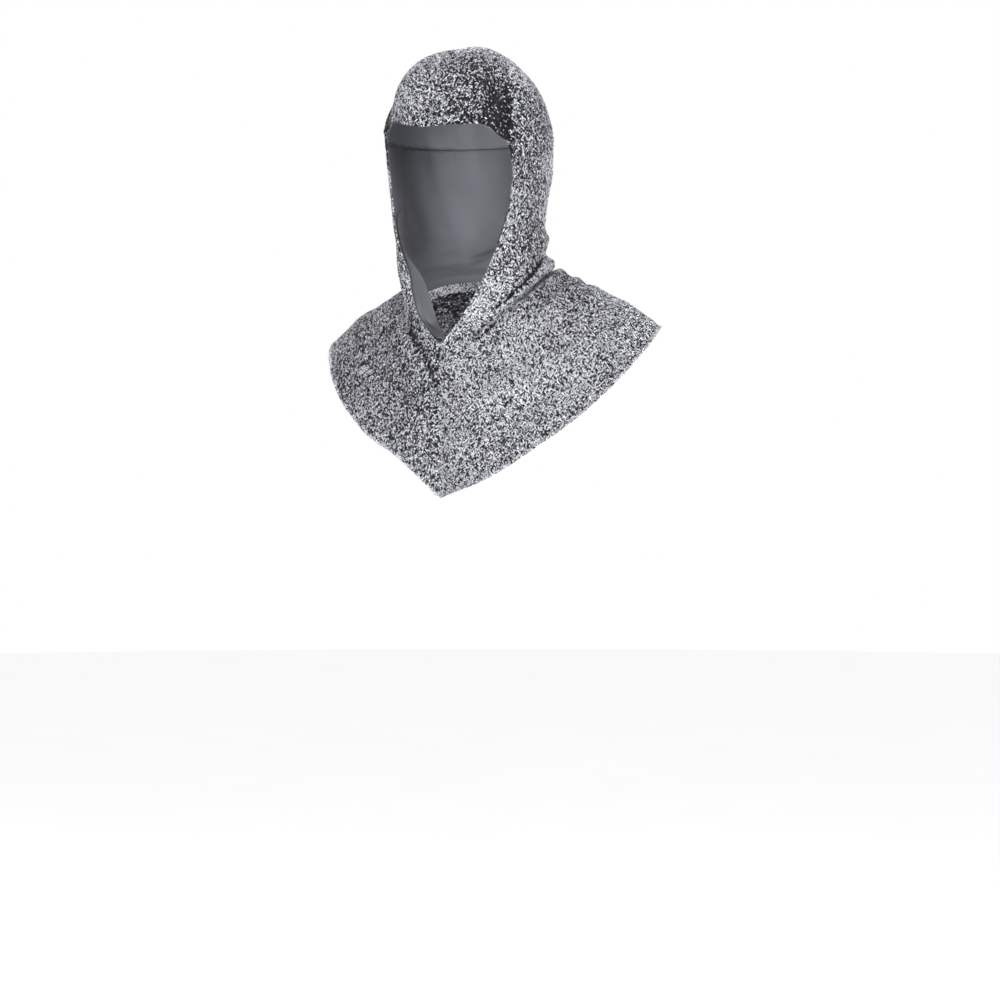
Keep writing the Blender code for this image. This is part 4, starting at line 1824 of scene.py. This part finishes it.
@dataclass
class Lining:
    """The hood's lining: a crown piece, two side pieces and a facing down each front edge."""

    hood: Hood
    seam_height: float = -0.1225  # where the crown piece ends and the side pieces begin, at the crown's axis
    seam_rise: float = 0.07  # how far that seam rises for each metre back
    stitch_width: float = 0.0016  # the width of the painted shadow line under the seam, where the stitching is
    # the painted shadow along the seam, and the painted light on the crown piece
    stitch_shade: float = -0.5
    crown_shade: float = 0.22
    foot_drop: float = 0.012  # how far the side pieces hang below the neck seam at the nape
    foot_front_drop: float = 0.001  # and at the front
    foot_turn: Pair = (50.0, 95.0)  # the angles between which the one becomes the other
    foot_steps: int = 4
    slack: Slackness = Slackness(height=0.0009, size=0.06, fine_height=0.0)
    # Each crease has painted shade in a trough and painted light on a ridge; a last number, where given,
    # adds more painted shade.
    creases: tuple[Crease, ...] = (
        Crease(176, 0.95, 172, 1.16, 160, 1.44, 0.014, -0.0012),
        Crease(150, 0.94, 152, 1.02, 151, 1.07, 0.004, -0.0008),
        Crease(130, 0.94, 133, 1.00, 133, 1.06, 0.004, -0.0009),
        Crease(112, 0.95, 114, 1.02, 116, 1.05, 0.004, -0.0007),
        Crease(169, 1.73, 157, 1.795, 143, 1.845, 0.0036, -0.0024, -0.30),
        Crease(120, 1.30, 126, 1.55, 138, 1.80, 0.016, -0.0010),
        Crease(96, 1.15, 100, 1.45, 104, 1.75, 0.015, -0.0012),
    )
    # Painted light towards the back of the lining, painted shade at its sides and by the near edge.
    shades: tuple[Shade, ...] = (
        Shade(152, 1.20, 0.048, 0.250, 0.48),
        Shade(82, 1.30, 0.050, 0.250, -0.50),
        Shade(166, 1.60, 0.028, 0.055, -0.26),
        Shade(128, 1.05, 0.040, 0.030, 0.12),
        Shade(106, 1.52, 0.030, 0.070, -0.12),
    )

    def build(self, finishes: Finishes) -> None:
        """Cuts, walls and dresses the pieces.

        Args:
            finishes: the materials.
        """
        skins = self.hood.skins.values()
        crown = joined(self.cut(skin, above=True) for skin in skins)
        piece = walled("lining_crown_cloth", crown, LINING_WALL)
        dress(piece, finishes.lining, ["lining_crown"])
        for side, skin in self.hood.skins.items():
            surface = self.cut(skin, above=False)
            piece = walled(f"lining_{side.word}_cloth", surface, LINING_WALL, side, level_at=ALL_BUT_FOOT)
            dress(piece, finishes.lining, [f"lining_{side.word}"])

    def above_seam(self, place: Vector) -> float:
        """How far a place lies above the seam of the crown piece."""
        return place.z - self.seam_height - self.seam_rise * place.y

    def cut(self, skin: Skin, above: bool) -> BMesh:
        """Cuts the lining above or under the seam of the crown piece, with the seam's painted shadow line
        and the crown piece's painted light on it.

        Args:
            skin: the half of the hood that it lies in.
            above: whether it is the part above the seam.

        Returns:
            The open surface.
        """
        mesh = skin.layer(None, LINING_DEPTH, () if above else self.creases, self.slack, self.shades)
        keep_up = 1 if above else -1
        gap = 0.0 if above else SEAM_GAP
        bmesh.ops.bisect_plane(
            mesh,
            geom=mesh.verts[:] + mesh.edges[:] + mesh.faces[:],
            plane_co=(0.0, 0.0, self.seam_height - gap),
            plane_no=(0.0, -self.seam_rise, 1.0),
        )
        gone = [face for face in mesh.faces if keep_up * self.above_seam(face.calc_center_median()) < 0]
        bmesh.ops.delete(mesh, geom=gone, context="FACES")
        tone = mesh.verts.layers.float[TONE]
        for vert in mesh.verts:
            if above:
                vert[tone] += self.crown_shade
            vert[tone] += self.stitch_shade * bell(self.above_seam(vert.co), self.stitch_width)
        if not above:
            self.hang_foot(mesh)
            unroll(mesh, skin.form)
        return mesh

    def hang_foot(self, mesh: BMesh) -> None:
        """Lets the foot of the lining hang straight down from the neck seam.

        Args:
            mesh: the side piece's surface.
        """
        level, angle = place_layers(mesh)
        start, end = self.foot_turn
        edges = [edge for edge in mesh.edges if edge.is_boundary and at_foot(edge, level)]
        for _ in range(self.foot_steps):
            grown = bmesh.ops.extrude_edge_only(mesh, edges=edges)["geom"]
            edges = [item for item in grown if isinstance(item, BMEdge)]
            for vert in (item for item in grown if isinstance(item, BMVert)):
                share = smooth((vert[angle] - start) / (end - start))
                drop = self.foot_front_drop + (self.foot_drop - self.foot_front_drop) * share
                vert.co.z -= drop / self.foot_steps
                vert[level] += drop / self.foot_steps / self.hood.form.side_length
        mesh.normal_update()


@dataclass
class Facing:
    """The facing down a front edge. The right one stands out from behind the mail, across the throat."""

    hood: Hood
    top: float = 1 + 4 / SOLID_ROWS
    end: float = 1.965
    share: float = 0.165  # how far round it reaches, behind the mail cloth
    lip: tuple[float, ...] = (-1.0, 4.0, 14.0, 20.0, 18.5, 10.5)  # degrees the right one stands out by
    columns: int = 26
    rows: int = 64
    extra_depth: float = 0.0012  # how far it hangs clear of the lining
    # Painted shade on the facings, darkest at the top and at the tip.
    shades: tuple[Shade, ...] = (
        Shade(40, 1.64, 0.20, 0.20, -0.30),
        Shade(62, 1.40, 0.05, 0.05, -0.30),
        Shade(2, 1.94, 0.014, 0.016, -0.36),
    )
    # Each crease has painted light on a ridge and painted shade in a trough; the last number adds more of
    # it.
    creases: tuple[Crease, ...] = (
        Crease(26, 1.76, 16, 1.86, 4, 1.90, 0.0050, 0.0028, 0.12),
        Crease(20, 1.80, 12, 1.90, 0, 1.95, 0.0030, -0.0026, -0.20),
    )

    def build(self, finishes: Finishes) -> None:
        """Cuts, walls and dresses both facings.

        Args:
            finishes: the materials.
        """
        for side in Side:
            patches = (Patch(self.columns, self.rows, self.at),)
            skin = Skin(self.hood.form, side, patches, self.hood.creases[side], self.hood.slack)
            creases = self.creases if side is Side.RIGHT else ()
            strip = skin.layer(None, INNER_DEPTH + self.extra_depth, creases, shades=self.shades)
            facing = walled(f"facing_{side.word}_cloth", strip, LINING_WALL)
            dress(facing, finishes.lining, [f"facing_{side.word}"])

    def at(self, side: Side, across: float, down: float) -> Pair:
        """Where a point of the facing's patch lies on the hood.

        Args:
            side: the side.
            across: its share across the patch.
            down: its share down the patch.

        Returns:
            Its level and its angle.
        """
        level = self.top + (self.end - self.top) * down
        edge = self.hood.form.edge_angle(level, side)
        inner = edge + (180 - edge) * self.share
        outer = edge - (through(self.lip, down) if side is Side.RIGHT else 0.0)
        return level, outer + (inner - outer) * across


@dataclass
class NeckBand:
    """A narrow band of the mail cloth round the inside of the nape, over the foot of the lining."""

    hood: Hood
    top: float = 1 + 10 / SOLID_ROWS  # it has the hood's rows below this level
    share: float = 0.275  # how far round from the face opening it begins
    drop: float = 0.0087  # how far below the neck seam its top lies
    height: float = 0.0118
    clearance: float = 0.0006
    ripple: Slackness = Slackness(height=0.0012, size=0.024)
    seed: int = 31  # of the stitches' places
    # Painted light on the band, which lies in shadow inside the nape.
    shades: tuple[Shade, ...] = (Shade(140, 1.95, 0.5, 0.5, 0.28),)

    def build(self, finishes: Finishes, tinsel: Tinsel) -> None:
        """Cuts, walls and dresses it, with its tinsel on the inside.

        Args:
            finishes: the materials.
            tinsel: what sets the stitches.
        """
        piece = walled("neck_band_cloth", self.hanging(0.0), MAIL_WALL)
        dress(piece, finishes.yarn, ["neck_band"])
        stitches = tinsel.over("neck_band_tinsel", turned(self.hanging(MAIL_WALL)), self.seed)
        dress(stitches, finishes.tinsel)

    def hanging(self, depth: float) -> BMesh:
        """The foot of the hood, let straight down as the band.

        Args:
            depth: how far under its outside.

        Returns:
            The open surface.
        """
        band = joined(skin.layer(self.here, shades=self.shades) for skin in self.hood.skins.values())
        level, angle = place_layers(band)
        for vert in band.verts:
            side = Side.LEFT if vert.co.x > 0 else Side.RIGHT
            foot = self.hood.form.point(2.0, side, vert[angle])
            out = Vector((foot.x, foot.y, 0.0)).normalized()
            down = 1 - (2 - vert[level]) / (2 - self.top)
            foot.z -= self.drop + self.height * down
            vert.co = foot - out * (INNER_DEPTH + self.clearance + depth + abs(self.ripple.at(foot)))
        band.normal_update()
        return band

    def here(self, side: Side, level: float, angle: float) -> bool:
        """Whether the band is here."""
        return level > self.top and self.hood.share(side, level, angle) > self.share


@dataclass
class Mantle:
    """The pointed mantle: a left and a right half of mail cloth, hemmed along the rim."""

    form: MantleForm = MantleForm()
    columns: int = 150
    rows: int = 78
    neck_rows: float = 0.24  # the share of the rows that lie near the neck seam
    neck_share: float = 0.13  # and the share of the length that they take up
    hem_rows: float = 0.12  # the same for the hem
    hem_share: float = 0.06
    slack: Slackness = Slackness(height=0.0026, size=0.055)
    seed: int = 21  # of the stitches' places, and one more on the right half
    inside_seed: int = 23
    # Each crease has painted shade in a trough and painted light on a ridge; a last number, where given,
    # adds painted light or, below 0, painted shade.
    creases: dict[Side, tuple[Crease, ...]] = field(
        default_factory=lambda: {
            Side.LEFT: (
                Crease(124, 0.17, 96, 0.16, 62, 0.15, 0.008, -0.0026, -0.10),
                Crease(106, 0.10, 90, 0.050, 72, 0.008, 0.0023, -0.0028, -1.20),
                Crease(53, 0.042, 40, 0.050, 25, 0.075, 0.0018, -0.0026, -1.44),
                Crease(128, 0.145, 114, 0.160, 98, 0.175, 0.009, 0.0075, -0.34),
                Crease(18, 0.50, 44, 0.60, 74, 0.74, 0.016, 0.0030),
                Crease(22, 0.34, 48, 0.38, 88, 0.54, 0.014, -0.0034, 0.12),
                Crease(26, 0.70, 46, 0.78, 66, 0.88, 0.012, -0.0024, 0.08),
                Crease(0, 0.47, 7, 0.54, 17, 0.61, 0.006, -0.0028),
                Crease(1, 0.60, 9, 0.68, 20, 0.74, 0.012, 0.0020),
                Crease(84, 0.74, 100, 0.68, 120, 0.72, 0.016, 0.0028),
                Crease(128, 0.36, 150, 0.46, 174, 0.40, 0.015, -0.0036),
                Crease(140, 0.72, 158, 0.60, 178, 0.64, 0.017, 0.0034),
                Crease(118, 0.48, 132, 0.68, 140, 0.92, 0.014, -0.0028),
                Crease(150, 0.80, 162, 0.84, 176, 0.80, 0.013, -0.0026),
            ),
            Side.RIGHT: (
                Crease(40, 0.00, 18, 0.078, 1.5, 0.27, 0.0048, -0.0042, -0.56),
                Crease(42, 0.00, 38, 0.018, 32, 0.048, 0.0044, -0.0020, -0.86),
                Crease(64, 0.10, 44, 0.16, 20, 0.30, 0.012, 0.0024),
                Crease(118, 0.18, 92, 0.15, 62, 0.17, 0.008, -0.0028),
                Crease(14, 0.46, 38, 0.50, 66, 0.58, 0.014, -0.0030),
                Crease(18, 0.66, 42, 0.70, 70, 0.82, 0.016, 0.0026),
                Crease(80, 0.70, 98, 0.64, 116, 0.70, 0.015, 0.0026),
                Crease(90, 0.40, 104, 0.52, 110, 0.86, 0.013, -0.0024),
                Crease(126, 0.40, 146, 0.50, 172, 0.46, 0.014, -0.0032),
                Crease(136, 0.68, 156, 0.56, 176, 0.58, 0.018, 0.0030),
                Crease(122, 0.52, 130, 0.72, 144, 0.94, 0.013, -0.0028),
                Crease(152, 0.76, 164, 0.88, 178, 0.86, 0.013, -0.0022),
            ),
        }
    )
    # Painted light and shade on each half, in soft patches.
    shades: dict[Side, tuple[Shade, ...]] = field(
        default_factory=lambda: {
            Side.LEFT: (
                Shade(88, 0.30, 0.050, 0.040, -0.18),
                Shade(70, 0.10, 0.040, 0.014, -0.10),
                Shade(18, 0.80, 0.024, 0.030, -0.04),
                Shade(54, 0.81, 0.030, 0.026, 0.12),
                Shade(46, 0.44, 0.070, 0.050, 0.06),
                Shade(36, 0.09, 0.024, 0.016, 0.12),
                Shade(-5, 0.09, 0.020, 0.022, -0.28),
                Shade(110, 0.28, 0.046, 0.030, -0.26),
            ),
            Side.RIGHT: (
                Shade(20, 0.45, 0.110, 0.100, -0.26),
                Shade(66, 0.62, 0.060, 0.060, -0.22),
                Shade(12, 0.30, 0.030, 0.030, -0.12),
                Shade(50, 0.92, 0.050, 0.036, -0.18),
                Shade(9, 0.80, 0.036, 0.044, -0.06),
                Shade(56, 0.16, 0.036, 0.028, -0.24),
                Shade(5, 0.09, 0.020, 0.022, -0.28),
            ),
        }
    )
    inside_spacing: float = 0.0022  # between the stitches that show on the wrong side, round the throat
    inside_end: float = 0.62
    # painted shade on the wrong side round the throat, which lies in shadow
    inside_shades: tuple[Shade, ...] = (Shade(150, 0.3, 0.30, 0.30, -0.60),)
    skins: dict[Side, Skin] = field(init=False)

    def __post_init__(self) -> None:
        """Lays the surface of each half."""
        patches = (Patch(self.columns, self.rows, self.at),)
        self.skins = {
            side: Skin(self.form, side, patches, self.creases[side], self.slack, self.shades[side])
            for side in Side
        }

    def at(self, side: Side, across: float, down: float) -> Pair:
        """Where a point of the patch, which is finer at the neck and the hem, lies on the mantle.

        Args:
            side: the side.
            across: its share across the patch.
            down: its share down the patch.

        Returns:
            Its level and its angle.
        """
        rows = (0, self.neck_rows, 1 - self.hem_rows, 1)
        levels = (0, self.neck_share, 1 - self.hem_share, 1)
        return float(np.interp(down, rows, levels)), 180 * across

    def build(self, finishes: Finishes, tinsel: Tinsel) -> None:
        """Cuts, walls and dresses both halves.

        Args:
            finishes: the materials.
            tinsel: what sets the stitches.
        """
        for number, side in enumerate(Side):
            skin = self.skins[side]
            piece = walled(f"mantle_{side.word}_cloth", skin.layer(), MAIL_WALL, side)
            dress(piece, finishes.yarn, [f"mantle_{side.word}"])
            stitches = tinsel.over(f"mantle_{side.word}_tinsel", skin.layer(), self.seed + number)
            dress(stitches, finishes.soft_tinsel if side is Side.LEFT else finishes.tinsel)
            inner = turned(skin.layer(self.round_throat, MAIL_WALL, shades=self.inside_shades))
            inside = tinsel.over(
                f"mantle_{side.word}_inside_tinsel", inner, self.inside_seed + number, self.inside_spacing
            )
            dress(inside, finishes.tinsel)

    def round_throat(self, side: Side, level: float, angle: float) -> bool:
        """Whether the wrong side shows here, when looking in at the throat."""
        return level < self.inside_end


@dataclass(frozen=True)
class Softbox:
    """A soft studio light: where it stands, how big it is and how bright."""

    name: str
    place: Triple
    size: float
    watts: float

    def set_up(self, aim: Vector) -> None:
        """Puts it in the scene, turned to its aim.

        Args:
            aim: the place that it lights.
        """
        light = bpy.data.lights.new(self.name, "AREA")
        light.shape = "SQUARE"
        light.size = self.size
        light.energy = self.watts
        holder = bpy.data.objects.new(self.name, light)
        holder.location = self.place
        holder.rotation_euler = (aim - Vector(self.place)).to_track_quat("-Z", "Y").to_euler()
        bpy.context.collection.objects.link(holder)


@dataclass
class Studio:
    """The pale floor, the lights and the camera."""

    floor_drop: float = 1.75  # the crown's height over the floor
    floor_reach: float = 14.0
    floor_rough: float = 0.9
    floor_glow: float = 0.65  # so that it runs into the surround
    floor_greys: Pair = (0.86, 0.90)
    surround_light: float = 0.33  # how brightly the surround lights the coif
    surround_seen: float = 0.67  # and how much brighter it looks
    azimuth: float = math.radians(30)
    distance: float = 3.0
    lens: float = 80.0
    aim: Triple = (0.0405 * 0.866, 0.0405 * 0.5, -0.61 + CROWN_RISE)  # of the camera
    lit: Triple = (0.0, 0.0, -0.3)  # what the lights are turned to
    boxes: tuple[Softbox, ...] = (
        Softbox("key", (2.1, -1.9, 0.9), 1.6, 63.0),
        Softbox("front", (0.5, -3.0, -0.2), 1.4, 18.0),
        Softbox("fill", (-2.2, -2.0, 0.1), 2.0, 5.0),
        Softbox("top", (-0.3, 0.6, 2.0), 1.8, 24.0),
        Softbox("back", (0.6, 2.6, 0.4), 1.8, 26.0),
    )

    def build(self) -> None:
        """Puts everything in the scene."""
        self.floor()
        self.world()
        for box in self.boxes:
            box.set_up(Vector(self.lit))
        self.camera()

    def floor(self) -> None:
        """The floor, a wide pale disc."""
        mesh = bmesh.new()
        bmesh.ops.create_circle(
            mesh,
            cap_ends=True,
            segments=96,
            radius=self.floor_reach,
            matrix=Matrix.Translation((0.0, 0.0, CROWN_RISE - self.floor_drop)),
        )
        floor = linked("floor", mesh)
        material, tree, shader = new_material("pale floor")
        place = put(tree, "ShaderNodeTexCoord").outputs["Object"]
        grain = put(tree, "ShaderNodeTexNoise", {"Vector": place, "Scale": 3.0})
        low, high = ((grey, grey, grey) for grey in self.floor_greys)
        colour = ramp(tree, grain.outputs[0], ((0.3, low), (0.7, high)))
        tree.links.new(colour, shader.inputs["Base Color"])
        shader.inputs["Roughness"].default_value = self.floor_rough
        shader.inputs["Emission Color"].default_value = (1.0, 1.0, 1.0, 1)
        shader.inputs["Emission Strength"].default_value = self.floor_glow
        floor.data.materials.append(material)

    def world(self) -> None:
        """An even pale surround."""
        world = bpy.data.worlds.new("studio")
        world.use_nodes = True
        tree = world.node_tree
        background = tree.nodes["Background"]
        background.inputs["Color"].default_value = (1.0, 1.0, 1.0, 1)
        seen = put(tree, "ShaderNodeLightPath").outputs["Is Camera Ray"]
        extra = math_node(tree, "MULTIPLY", seen, self.surround_seen)
        strength = math_node(tree, "ADD", extra, self.surround_light)
        tree.links.new(strength, background.inputs["Strength"])
        bpy.context.scene.world = world

    def camera(self) -> None:
        """The camera, level with the lower chest."""
        data = bpy.data.cameras.new("camera")
        data.lens = self.lens
        camera = bpy.data.objects.new("camera", data)
        back = Vector((math.sin(self.azimuth), -math.cos(self.azimuth), 0.0))
        camera.location = Vector(self.aim) + self.distance * back
        camera.rotation_euler = (-back).to_track_quat("-Z", "Y").to_euler()
        bpy.context.collection.objects.link(camera)
        bpy.context.scene.camera = camera
        bpy.context.scene.view_settings.view_transform = "Standard"


def main() -> None:
    """Builds the coif, piece by piece, and the studio round it."""
    logging.basicConfig(level=logging.INFO, format="%(message)s")
    Studio().build()
    effects = Effects()
    finishes = Finishes(
        yarn=MailYarn().make(effects),
        tinsel=TinselFinish().make(effects),
        soft_tinsel=SHADED_TINSEL.make(effects),
        lining=LiningFinish().make(effects),
    )
    tinsel = Tinsel()
    hood = Hood()
    hood.build(finishes, tinsel)
    Lining(hood).build(finishes)
    Facing(hood).build(finishes)
    NeckBand(hood).build(finishes, tinsel)
    Mantle().build(finishes, tinsel)
    tinsel.put_away()


if __name__ == "__main__":
    main()
